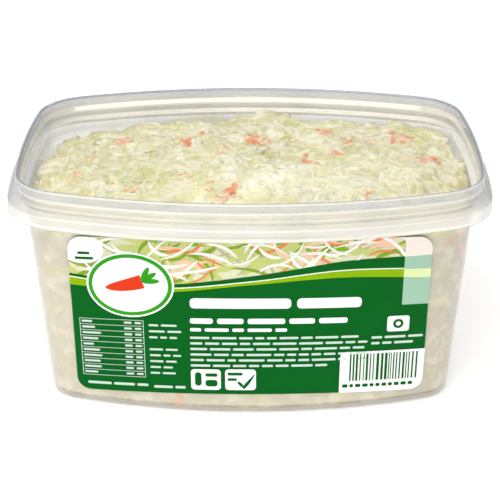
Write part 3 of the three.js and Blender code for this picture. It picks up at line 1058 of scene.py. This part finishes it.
def heap_skin():
    """The filling's upper surface, evened out a little, for the shreds to lie on."""
    mesh = bpy.data.objects["salad_mass"].data
    points = np.empty(3 * len(mesh.vertices))
    mesh.vertices.foreach_get("co", points)
    around = len(plan_outline(0, CORE_STEPS))
    grid = points.reshape(-1, 3)[1:-1].reshape(-1, around, 3)[-TOP_RINGS:]
    grid[:, :, 2] = softened(grid[:, :, 2], SKIN_PASSES)
    grid = grid[1:, ::2]
    size = grid.shape[1]
    faces = []
    for ring in range(len(grid) - 1):
        for i in range(size):
            j = (i + 1) % size
            faces.append((ring * size + i, ring * size + j, (ring + 1) * size + j, (ring + 1) * size + i))
    faces.append([(len(grid) - 1) * size + i for i in range(size)])
    return grid.reshape(-1, 3), faces, grid[0]


def distance_to_rim(points, rim):
    """How far each of the skin's points lies, in plan, from its rim."""
    apart = points[:, None, :2] - rim[None, :, :2]
    return np.sqrt((apart**2).sum(2).min(1))


def scatter(name, density, spots, material, tree):
    """Lays one kind of shreds on the heap, crowded round spots given by place and reach in millimetres."""
    points, faces, rim = heap_skin()
    piece = new_piece(name, points, faces, material)
    paint(piece, "room", distance_to_rim(points, rim))
    paint(piece, "crowd", sum(mound(points[:, 0], points[:, 1], *mm(*spot)) for spot in spots))
    modifier = piece.modifiers.new("shreds", "NODES")
    modifier.node_group = tree
    given = {**SHRED_KINDS[name], "Density": density, "Material": material}
    for item in tree.interface.items_tree:
        if item.in_out == "INPUT" and item.name in given:
            modifier[item.identifier] = given[item.name]
    real_mesh(piece)
    smooth(piece, 60)
    settle(piece, "salad")


class COLESLAW_OT_shreds(bpy.types.Operator):
    """Lay loose shreds of cabbage and bits of carrot on the filling"""

    bl_idname = "coleslaw.shreds"
    bl_label = "Shreds"

    def execute(self, context):
        settings = context.scene.coleslaw_salad
        tree = shred_tree()
        area = 4 * HALF_LENGTH * HALF_WIDTH
        carrot = settings.carrot / (25 * MM**2)
        draw = even_random("crowded_spots")
        spots = [(draw(-70, 70), draw(-45, 45), draw(8, 18)) for _ in range(CROWDED_SPOTS)]
        for name, density, crowded, *finish in (
            ("cabbage_shreds", settings.cabbage / area, spots[:9], "white_cabbage", CABBAGE_TINTS, 0.3),
            ("green_shreds", settings.green / area, spots[9:], "green_cabbage", GREEN_TINTS, 0.3),
            ("carrot_bits", carrot, CARROT_CLUSTERS, "grated_carrot", CARROT_TINTS, 0.32),
        ):
            scatter(name, density, crowded, shred_finish(*finish), tree)
        return {"FINISHED"}


# Label

LABEL_HALF = 62.5 * MM
LABEL_LOW = 9 * MM
LABEL_HIGH = 72 * MM
LABEL_CORNER = 5 * MM
LABEL_GAP = 0.15 * MM
LABEL_THICK = 0.3 * MM
LABEL_DROOP = 3 * MM
INK_STEP = 0.02 * MM
INK_THICK = 0.012 * MM
INK_COLUMN = 3 * MM
WAVE_COLUMN = 1.5 * MM
# The print goes on past the label's top edge, where it is cut off.
PRINT_TOP = LABEL_HIGH + 1 * MM
FIELD_LOW = 49 * MM
# The pale corner over the wave, from its left edge on and down to its low edge.
PALE_LEFT = 52.7 * MM
PALE_LOW = 45.2 * MM
# How far out each print lies on the film, in steps of ink.
PRINT_STEPS = {
    "picture_strip": 1, "picture_green": 2, "picture_shade": 3, "picture_pale_green": 4, "picture_leaf": 5,
    "picture_peach": 6, "picture_orange": 7, "picture_white": 8, "corner_patch": 9, "corner_marks": 10,
    "wave_field": 10, "wave_hairline": 11, "wave_lime": 11, "corner_pale": 12, "corner_lime": 12,
    "corner_picture": 12, "badge_edge": 13, "badge_ring": 14, "badge_face": 15, "badge_carrot": 16,
    "badge_leaves": 16, "large_bars": 11, "small_bars": 11, "table_rules": 11, "white_boxes": 11,
    "box_marks": 12, "box_dot": 13, "stripe_field": 11, "stripes": 12,
}
# The printed shreds: name, colour on screen, how many, and the longest and the widest in millimetres.
PAINTED_SHREDS = [
    ("picture_shade", (190, 186, 150), 50, 14, 1.6),
    ("picture_pale_green", (200, 208, 126), 60, 22, 3.2),
    ("picture_leaf", (132, 166, 48), 34, 17, 1.8),
    ("picture_peach", (244, 202, 172), 22, 18, 2.0),
    ("picture_orange", (236, 138, 84), 16, 15, 1.3),
    ("picture_white", (248, 247, 238), 46, 18, 1.5),
]
BADGE_CENTRE = mm(-41, 53.6)
# Bars, boxes and fields of print, and the marks on them: left, low, right and high in millimetres.
LARGE_BARS = [(-20.5, 44.9, 14, 49), (16, 44.9, 38.3, 49)]
WHITE_BOXES = [(-20.7, 10.9, -10.2, 19.7), (-8.7, 10.9, 2.1, 19.8), (47.8, 34.3, 55.9, 40.7)]
BOX_MARKS = [
    (-19.3, 12.6, -17, 18.4), (-15.6, 16.6, -11.4, 18), (-15.6, 12.4, -11.4, 15.2), (-7.8, 17.2, -2.6, 18.4),
    (-7.8, 14.9, -4.6, 16),
]
CORNER_MARKS = [(-60, 63.2, -53.4, 64.2), (-59, 65.2, -54.6, 66.2)]
STRIPE_FIELD = (31.5, 5, 70, 26.4)
STRIPES = (35, 14, 60.2, 25.4)
TABLE = (-60, 15.6, -36.8, 39.4)
TABLE_ROWS = 10
TABLE_LINE = 0.22 * MM
# The tick in the second box: its path and how wide it is along it, in millimetres.
TICK = [(-4.2, 14.4), (-3.1, 13.2), (-2.2, 12.0), (-1.0, 13.6), (0.2, 15.4), (1.6, 17.6)]
TICK_WIDTHS = [0.8, 1.2, 1.5, 1.3, 0.9, 0.3]
# The height of the smallest bars.
SMALL_BAR = 0.85 * MM

# The wave across the label: heights of its lines in millimetres at five even places from left to right.
WAVE_TOP = (57.5, 54.2, 57.6, 63.1, 64.9)
WAVE_HAIRLINE = (56.5, 52.9, 55.8, 59.9, 59.8)
WAVE_LIME = (56.1, 52.5, 55.4, 59.5, 59.4)
WAVE_FIELD = (53.0, 51.1, 54.3, 56.9, 55.9)


class LabelSettings(bpy.types.PropertyGroup):
    """The label's printing inks."""

    field: colour_property("Field", "The large dark green field", screen(0, 97, 28))
    lime: colour_property("Lime", "The band along the wave", screen(140, 182, 6))
    white: colour_property("White", "White print", screen(250, 251, 248))
    ring: colour_property("Ring", "The badge's ring", screen(48, 158, 28))
    carrot: colour_property("Carrot", "The badge's carrot", screen(226, 60, 28))
    pale: colour_property("Pale", "The pale corner over the dark field", screen(164, 200, 176))


def ink(name, colour):
    made = Finish(name)
    grain = made.noise(1400, 2)
    cloud = made.noise(35, 2)
    return made.done(
        Base_Color=made.blend(0.10 * cloud, rgba(colour), rgba(0.8 * c for c in colour)),
        Roughness=0.5 + 0.1 * grain,
        Specular_IOR_Level=0.06,
        Normal=made.bump(grain, 0.04, 0.05 * MM),
    )


def on_front_wall(along, up, out):
    """Places on the front wall: along the bow, up from the base with the label's droop, and out from it."""
    along = np.asarray(along, float)
    up = np.asarray(up, float)
    z = up - LABEL_DROOP * (along / LABEL_HALF) ** 2
    radius = LONG_SIDE_BOW + wall_offset(z)
    angle = along / radius
    x = FRONT_CENTRE.x + (radius + out) * np.sin(angle)
    y = FRONT_CENTRE.y - (radius + out) * np.cos(angle)
    return np.stack([x, y, z], -1)


def clip(polygon, normal, limit):
    """Keeps the part of a flat polygon where normal . point <= limit."""
    kept = []
    for i, here in enumerate(polygon):
        before = polygon[i - 1]
        d0 = normal[0] * before[0] + normal[1] * before[1] - limit
        d1 = normal[0] * here[0] + normal[1] * here[1] - limit
        if (d0 <= 0) != (d1 <= 0):
            t = d0 / (d0 - d1)
            kept.append((lerp(before[0], here[0], t), lerp(before[1], here[1], t)))
        if d1 <= 0:
            kept.append(here)
    return kept


def rounded_box(left, low, right, high, corner, steps=6):
    points = []
    for quarter, (side, level) in enumerate(((right, high), (left, high), (left, low), (right, low))):
        x = side - corner if side == right else side + corner
        y = level - corner if level == high else level + corner
        for k in range(steps + 1):
            angle = (quarter + k / steps) * math.pi / 2
            points.append((x + corner * math.cos(angle), y + corner * math.sin(angle)))
    return points


LABEL_OUTLINE = rounded_box(-LABEL_HALF, LABEL_LOW, LABEL_HALF, LABEL_HIGH, LABEL_CORNER, 8)


def within_label(polygon):
    """Cuts a convex polygon along the label's own convex outline."""
    for a, b in zip(LABEL_OUTLINE, LABEL_OUTLINE[1:] + LABEL_OUTLINE[:1]):
        normal = (b[1] - a[1], a[0] - b[0])
        if math.hypot(*normal) < 1e-9:
            continue
        polygon = clip(polygon, normal, normal[0] * a[0] + normal[1] * a[1])
        if len(polygon) < 3:
            return []
    return polygon


def in_columns(polygon):
    """Cuts a polygon into columns narrow enough to follow the wall's bow."""
    first = math.floor(min(p[0] for p in polygon) / INK_COLUMN)
    last = math.ceil(max(p[0] for p in polygon) / INK_COLUMN)
    for column in range(first, last):
        part = clip(polygon, (-1, 0), -column * INK_COLUMN)
        part = clip(part, (1, 0), (column + 1) * INK_COLUMN) if len(part) > 2 else part
        if len(part) > 2:
            yield part


def printed(name, polygons, material):
    """A piece of print: flat convex shapes laid on the label, thin but solid."""
    build = bmesh.new()
    out = LABEL_GAP + LABEL_THICK + PRINT_STEPS[name] * INK_STEP
    for polygon in polygons:
        shape = within_label(polygon)
        if not shape:
            continue
        for part in in_columns(shape):
            places = on_front_wall([p[0] for p in part], [p[1] for p in part], out)
            build.faces.new([build.verts.new(p) for p in places])
    bmesh.ops.remove_doubles(build, verts=build.verts, dist=2e-6)
    bmesh.ops.dissolve_degenerate(build, edges=build.edges, dist=2e-6)
    mesh = bpy.data.meshes.new(name)
    build.to_mesh(mesh)
    build.free()
    piece = show(name, mesh, material)
    skin = piece.modifiers.new("thickness", "SOLIDIFY")
    skin.thickness = INK_THICK
    skin.offset = -1
    real_mesh(piece)
    settle(piece, "label")


def wave(line, along):
    """The height of one of the wave's lines, as a smooth curve through its five heights."""
    t = (np.asarray(along) / LABEL_HALF + 1) / 2 * (len(line) - 1)
    i = np.clip(np.floor(t).astype(int), 0, len(line) - 2)
    f = t - i
    padded = np.array([2 * line[0] - line[1], *line, 2 * line[-1] - line[-2]]) * MM
    p0, p1, p2, p3 = padded[i], padded[i + 1], padded[i + 2], padded[i + 3]
    return p1 + 0.5 * f * (p2 - p0 + f * (2 * p0 - 5 * p1 + 4 * p2 - p3 + f * (3 * (p1 - p2) + p3 - p0)))


def wave_band(upper, lower, left=-LABEL_HALF, right=LABEL_HALF):
    """Columns of print between two lines. A line is one of the wave's, or one height."""
    edges = np.linspace(left, right, max(2, round((right - left) / WAVE_COLUMN)))

    def heights(line):
        return wave(line, edges) if isinstance(line, tuple) else np.full(len(edges), line)

    high = heights(upper)
    low = heights(lower)
    return [[(a, la), (b, lb), (b, hb), (a, ha)]
            for a, b, la, lb, ha, hb in zip(edges, edges[1:], low, low[1:], high, high[1:])]


def bar(left, low, right, high, corner=0.35):
    corner = min(corner * (high - low), 0.49 * (right - left))
    return rounded_box(left, low, right, high, corner, 3)


def small_bar(left, low, right):
    return bar(left, low, right, low + SMALL_BAR)


def bars(*boxes, corner=0.35):
    """Bars given by left, low, right and high in millimetres."""
    return [bar(*mm(*box), corner) for box in boxes]


def bar_line(draw, left, right, low, high, shortest=3 * MM, longest=9 * MM, gap=0.9 * MM):
    """A line of bars of uneven length."""
    bars = []
    start = left
    while start < right - shortest:
        end = min(start + draw(shortest, longest), right)
        bars.append(bar(start, low, end, high))
        start = end + gap
    return bars


def ellipse(x, y, reach, rise, steps=36):
    angles = [math.tau * k / steps for k in range(steps)]
    return [(x + reach * math.cos(a), y + rise * math.sin(a)) for a in angles]


def ribbon(path, widths):
    """Quads along a path, as wide as told at each point."""
    path = np.array(path)
    ahead = np.gradient(path, axis=0)
    ahead /= np.linalg.norm(ahead, axis=1)[:, None]
    aside = np.column_stack([-ahead[:, 1], ahead[:, 0]]) * np.array(widths)[:, None] / 2
    left = path + aside
    right = path - aside
    return [[tuple(right[i]), tuple(right[i + 1]), tuple(left[i + 1]), tuple(left[i])]
            for i in range(len(path) - 1)]


def painted_shred(draw, longest, widest):
    """One printed shred in the picture strip: a bent ribbon with pointed ends."""
    x = draw(-60, 62) * MM
    y = float(wave(WAVE_TOP, x)) + draw(0.5, 15) * MM
    length = draw(0.45, 1) * longest
    heading = draw(-0.9, 0.9)
    bend = draw(-0.45, 0.45) * length
    ts = np.linspace(-0.5, 0.5, 9)
    along = ts * length
    across = bend * (0.25 - ts**2) * 2
    path = np.column_stack([x + along * math.cos(heading) - across * math.sin(heading),
                            y + along * math.sin(heading) + across * math.cos(heading)])
    widths = draw(0.5, 1) * widest * np.sqrt(np.clip(1 - (2 * ts) ** 2, 0.02, 1))
    return ribbon(path, widths)


class COLESLAW_OT_label(bpy.types.Operator):
    """Make the label's film and its print"""

    bl_idname = "coleslaw.label"
    bl_label = "Label"

    def execute(self, context):
        settings = context.scene.coleslaw_label
        self.film(ink("dark_green_film", settings.field))
        self.picture()
        self.wave_bands(settings)
        self.badge(settings)
        self.bars_and_boxes()
        return {"FINISHED"}

    def film(self, material):
        """The film itself, a rounded sheet bent round the wall."""
        inner = LABEL_HALF - LABEL_CORNER
        ends = [LABEL_HALF - LABEL_CORNER * (1 - math.cos(a)) for a in np.linspace(0, math.pi / 2, 9)][:-1]
        rings = []
        for along in (*(-e for e in ends), *np.linspace(-inner, inner, 48), *reversed(ends)):
            past = max(0, abs(along) - LABEL_HALF + LABEL_CORNER)
            cut = LABEL_CORNER - math.sqrt(max(0, LABEL_CORNER**2 - past**2))
            low = LABEL_LOW + cut
            high = LABEL_HIGH - cut
            outer = LABEL_GAP + LABEL_THICK
            corners = [(high, LABEL_GAP), (high, outer), (low, outer), (low, LABEL_GAP)]
            rings.append([on_front_wall(along, up, out) for up, out in corners])
        middle = ((LABEL_LOW + LABEL_HIGH) / 2, LABEL_GAP + LABEL_THICK / 2)
        points, faces = swept_body(rings, *(on_front_wall(end, *middle) for end in (-LABEL_HALF, LABEL_HALF)))
        film = new_piece("label_film", points, faces, material)
        smooth(film, 40)
        settle(film, "label", "label")

    def picture(self):
        """The strip above the wave: printed shreds on a pale ground with bright green behind them."""
        ground = ink("picture_ground", screen(226, 224, 190))
        printed("picture_strip", wave_band(PRINT_TOP, WAVE_TOP), ground)
        bright = wave_band(PRINT_TOP, *mm(69.2, -34, -14)) + wave_band(PRINT_TOP, *mm(67.2, 10, 33))
        printed("picture_green", bright, ink("picture_bright_green", screen(118, 180, 24)))
        draw = even_random("picture")
        for name, colour, count, longest, widest in PAINTED_SHREDS:
            shapes = [quad for _ in range(count) for quad in painted_shred(draw, longest * MM, widest * MM)]
            printed(name, shapes, ink(name + "_ink", screen(*colour)))

    def wave_bands(self, settings):
        """The dark line, hairline and lime band of the wave, and the pale corner laid over them."""
        printed("wave_field", wave_band(WAVE_TOP, FIELD_LOW), ink("field_ink", settings.field))
        printed("wave_hairline", wave_band(WAVE_HAIRLINE, WAVE_LIME), ink("white_ink", settings.white))
        printed("wave_lime", wave_band(WAVE_LIME, WAVE_FIELD), ink("lime_ink", settings.lime))
        corner = wave_band(WAVE_TOP, WAVE_LIME, PALE_LEFT) + wave_band(WAVE_FIELD, PALE_LOW, PALE_LEFT)
        printed("corner_pale", corner, ink("pale_ink", settings.pale))
        lime = wave_band(WAVE_LIME, WAVE_FIELD, PALE_LEFT)
        printed("corner_lime", lime, ink("pale_lime_ink", screen(228, 238, 176)))
        picture = wave_band(PRINT_TOP, WAVE_TOP, PALE_LEFT)
        printed("corner_picture", picture, ink("pale_picture_ink", screen(250, 236, 226)))

    def badge(self, settings):
        """A plain oval badge with a carrot on it."""
        x, y = BADGE_CENTRE
        white = bpy.data.materials["white_ink"]
        green = ink("ring_ink", settings.ring)
        for name, *reach, colour in (
            ("badge_edge", 15.4, 12.9, white),
            ("badge_ring", 14.7, 12.2, green),
            ("badge_face", 13.3, 10.8, white),
        ):
            printed(name, [ellipse(x, y, *mm(*reach))], colour)
        ts = np.linspace(0, 1, 9)
        root = ribbon(np.column_stack([x + (4.4 - 13 * ts) * MM, y + (1.6 - 4.4 * ts + 1.6 * ts**2) * MM]),
                      5.4 * MM * np.sqrt(np.clip(1 - ts**1.6, 0.01, 1)))
        printed("badge_carrot", root, ink("carrot_ink", settings.carrot))
        leaves = []
        for turn in (0.05, 0.6, 1.15):
            reach = ts * 6.2 * MM
            path = np.column_stack([
                x + 4.2 * MM + reach * math.cos(turn), y + 1.6 * MM + reach * math.sin(turn)])
            leaves += ribbon(path, 2 * MM * np.sqrt(np.clip(1 - (2 * ts - 1) ** 2, 0.03, 1)))
        printed("badge_leaves", leaves, green)

    def bars_and_boxes(self):
        """Lines of plain bars, the table, the white boxes and the striped field."""
        draw = even_random("bars")
        white = bpy.data.materials["white_ink"]
        green = bpy.data.materials["field_ink"]
        bold = bars(*LARGE_BARS)
        bold += bar_line(draw, *mm(-20.6, 33.6, 38.7, 40.9, 6, 13, 1.4))
        bold += bar_line(draw, *mm(-20.6, 12.7, 35.5, 36.9, 3, 9, 1.2))
        printed("large_bars", bold, white)
        small = []
        for line in range(6):
            low = (32.4 - 2.32 * line) * MM
            small += bar_line(draw, *mm(-20.7, 41 if line < 5 else 27), low, low + 0.95 * MM)
        for line in range(9):
            if line != 3:
                low = (37.2 - 2.5 * line) * MM
                small += bar_line(draw, *mm(-35, draw(-27, -23.4)), low, low + SMALL_BAR, *mm(2, 6))
        small += bar_line(draw, *mm(-58.4, -36, 11.7, 12.8))
        small += bar_line(draw, *mm(-34, -22.7, 11.2, 12.3))
        for line in range(2):
            low = (31.6 - 2.4 * line) * MM
            small += bar_line(draw, *mm(42.4, 61.3), low, low + 1 * MM)
        soft_white = ink("soft_white_ink", screen(206, 226, 210))
        printed("small_bars", small, soft_white)
        self.table(draw, soft_white)
        printed("white_boxes", bars(*WHITE_BOXES, corner=0.14), white)
        marks = bars(*BOX_MARKS) + ribbon(np.array(TICK) * MM, np.array(TICK_WIDTHS) * MM)
        marks += [ellipse(*mm(51.85, 37.5, 1.9, 1.9), 20)]
        printed("box_marks", marks, green)
        printed("box_dot", [ellipse(*mm(51.85, 37.5, 0.9, 0.9), 16)], white)
        self.stripes(draw, white, green)
        printed("corner_patch", [ellipse(*mm(-57.5, 67, 8, 5.4))], white)
        printed("corner_marks", bars(*CORNER_MARKS), green)

    def table(self, draw, material):
        """The small table: an outline, ruled lines and short bars."""
        left, low, right, high = mm(*TABLE)
        rules = [bar(left, low, left + TABLE_LINE, high, 0), bar(right - TABLE_LINE, low, right, high, 0)]
        for row in range(TABLE_ROWS + 1):
            y = lerp(low, high, row / TABLE_ROWS)
            rules.append(bar(left, y - TABLE_LINE / 2, right, y + TABLE_LINE / 2, 0))
        for row in range(TABLE_ROWS):
            y = lerp(low, high, (row + 0.35) / TABLE_ROWS)
            rules.append(small_bar(left + 0.8 * MM, y, left + draw(4, 9) * MM))
            rules.append(small_bar(right - 7 * MM, y, right - 4.2 * MM))
            rules.append(small_bar(right - 3.2 * MM, y, right - 0.8 * MM))
        printed("table_rules", rules, material)

    def stripes(self, draw, white, green):
        """The white field with upright stripes in the lower right corner."""
        printed("stripe_field", bars(STRIPE_FIELD, corner=0.1), white)
        dark = []
        x, low, end, high = mm(*STRIPES)
        while x < end:
            wide = draw(0.25, 1.0) * MM
            dark.append(bar(x, low, x + wide, high, 0))
            x += wide + draw(0.3, 0.9) * MM
        dark += bar_line(draw, *mm(32.6, 59, 11.2, 12.6, 1.2, 2.2, 0.7))
        printed("stripes", dark, green)


# Stage

class StageSettings(bpy.types.PropertyGroup):
    """The camera and the lights."""

    distance: length_property("Distance", "How far the camera stands in front of the tub's middle", 459.8 * MM)
    height: length_property("Height", "How high the camera stands", 269.5 * MM)
    pitch: bpy.props.FloatProperty(
        name="Pitch", description="How far the camera looks down", subtype="ANGLE", unit="ROTATION",
        default=math.radians(26.38))
    lens: bpy.props.FloatProperty(
        name="Lens", description="Focal length in millimetres", default=98.5, min=1)
    floor: colour_property("Floor", "Colour of the floor", (0.97, 0.97, 0.97))


# The lights aim at the tub's middle. Each has its place, its size and its power in watts.
LIGHTS = [
    ("over_front", (-0.26, -0.45, 0.86), (0.9, 0.45), 5.8),
    ("over_back", (0.1, 0.5, 0.6), (0.9, 0.12), 1.2),
    ("low_front", (0.1, -0.9, 0.2), (1.2, 0.3), 1.5),
    ("left_strip", (-0.6, -0.25, 0.4), (0.12, 0.6), 0.05),
    ("right_strip", (0.6, -0.1, 0.4), (0.12, 0.6), 0.08),
]
LIGHTS_AIM = (0, 0, 50 * MM)
SKY_STRENGTH = 0.4
FLOOR_REACH = 3.0


def area_light(name, place, size, power):
    data = bpy.data.lights.new(name, "AREA")
    data.shape = "RECTANGLE"
    data.size, data.size_y = size
    data.energy = power
    lamp = bpy.data.objects.new(name, data)
    lamp.location = place
    lamp.rotation_euler = (Vector(LIGHTS_AIM) - Vector(place)).to_track_quat("-Z", "Y").to_euler()
    bpy.context.scene.collection.objects.link(lamp)


def floor_finish(settings):
    made = Finish("pale_floor")
    grain = made.noise(30, 2)
    return made.done(
        Base_Color=made.blend(0.02 * grain, rgba(settings.floor), (0.9, 0.9, 0.9, 1)),
        Roughness=0.8 + 0.05 * grain,
        Specular_IOR_Level=0.2,
        Emission_Color=(1, 1, 1, 1),
        Emission_Strength=0.32,
    )


class COLESLAW_OT_stage(bpy.types.Operator):
    """Set up the floor, the lights and the camera"""

    bl_idname = "coleslaw.stage"
    bl_label = "Stage"

    def execute(self, context):
        settings = context.scene.coleslaw_stage
        scene = context.scene
        corners = [(x * FLOOR_REACH, y * FLOOR_REACH, 0) for x, y in ((-1, -1), (1, -1), (1, 1), (-1, 1))]
        floor = new_piece("floor", corners, [(0, 1, 2, 3)], floor_finish(settings))
        floor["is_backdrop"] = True
        world = bpy.data.worlds.new("soft_studio")
        world.use_nodes = True
        sky = world.node_tree.nodes["Background"].inputs
        sky["Color"].default_value = (1, 1, 1, 1)
        sky["Strength"].default_value = SKY_STRENGTH
        scene.world = world
        scene.view_settings.view_transform = "Standard"
        for light in LIGHTS:
            area_light(*light)
        data = bpy.data.cameras.new("camera")
        data.lens = settings.lens
        data.sensor_width = 36
        camera = bpy.data.objects.new("camera", data)
        camera.location = (0, -settings.distance, settings.height)
        camera.rotation_euler = (math.pi / 2 - settings.pitch, 0, 0)
        scene.collection.objects.link(camera)
        scene.camera = camera
        return {"FINISHED"}


class COLESLAW_PT_panel(bpy.types.Panel):
    """Lists the pieces of the tub of coleslaw"""

    bl_idname = "COLESLAW_PT_panel"
    bl_label = "Coleslaw tub"
    bl_space_type = "VIEW_3D"
    bl_region_type = "UI"
    bl_category = "Coleslaw"

    def draw(self, context):
        for step in OPERATORS:
            self.layout.operator(step.bl_idname)
        for key in SETTINGS:
            group = getattr(context.scene, key)
            for name in group.__annotations__:
                self.layout.prop(group, name)


SETTINGS = {
    "coleslaw_tub": TubSettings,
    "coleslaw_salad": SaladSettings,
    "coleslaw_label": LabelSettings,
    "coleslaw_stage": StageSettings,
}
OPERATORS = (COLESLAW_OT_tub, COLESLAW_OT_filling, COLESLAW_OT_shreds, COLESLAW_OT_label, COLESLAW_OT_stage)


def register():
    for kind in (*SETTINGS.values(), *OPERATORS, COLESLAW_PT_panel):
        bpy.utils.register_class(kind)
    for name, kind in SETTINGS.items():
        setattr(bpy.types.Scene, name, bpy.props.PointerProperty(type=kind))


def unregister():
    for name in SETTINGS:
        delattr(bpy.types.Scene, name)
    for kind in reversed((*SETTINGS.values(), *OPERATORS, COLESLAW_PT_panel)):
        bpy.utils.unregister_class(kind)


def main():
    register()
    bpy.ops.coleslaw.tub()
    bpy.ops.coleslaw.filling()
    bpy.ops.coleslaw.shreds()
    bpy.ops.coleslaw.label()
    bpy.ops.coleslaw.stage()
    sizes = {"cad": CAD_BOUNDS, "visual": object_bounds()}
    plain = {key: np.array(value).tolist() for key, value in sizes.items()}


if __name__ == "__main__":
    main()
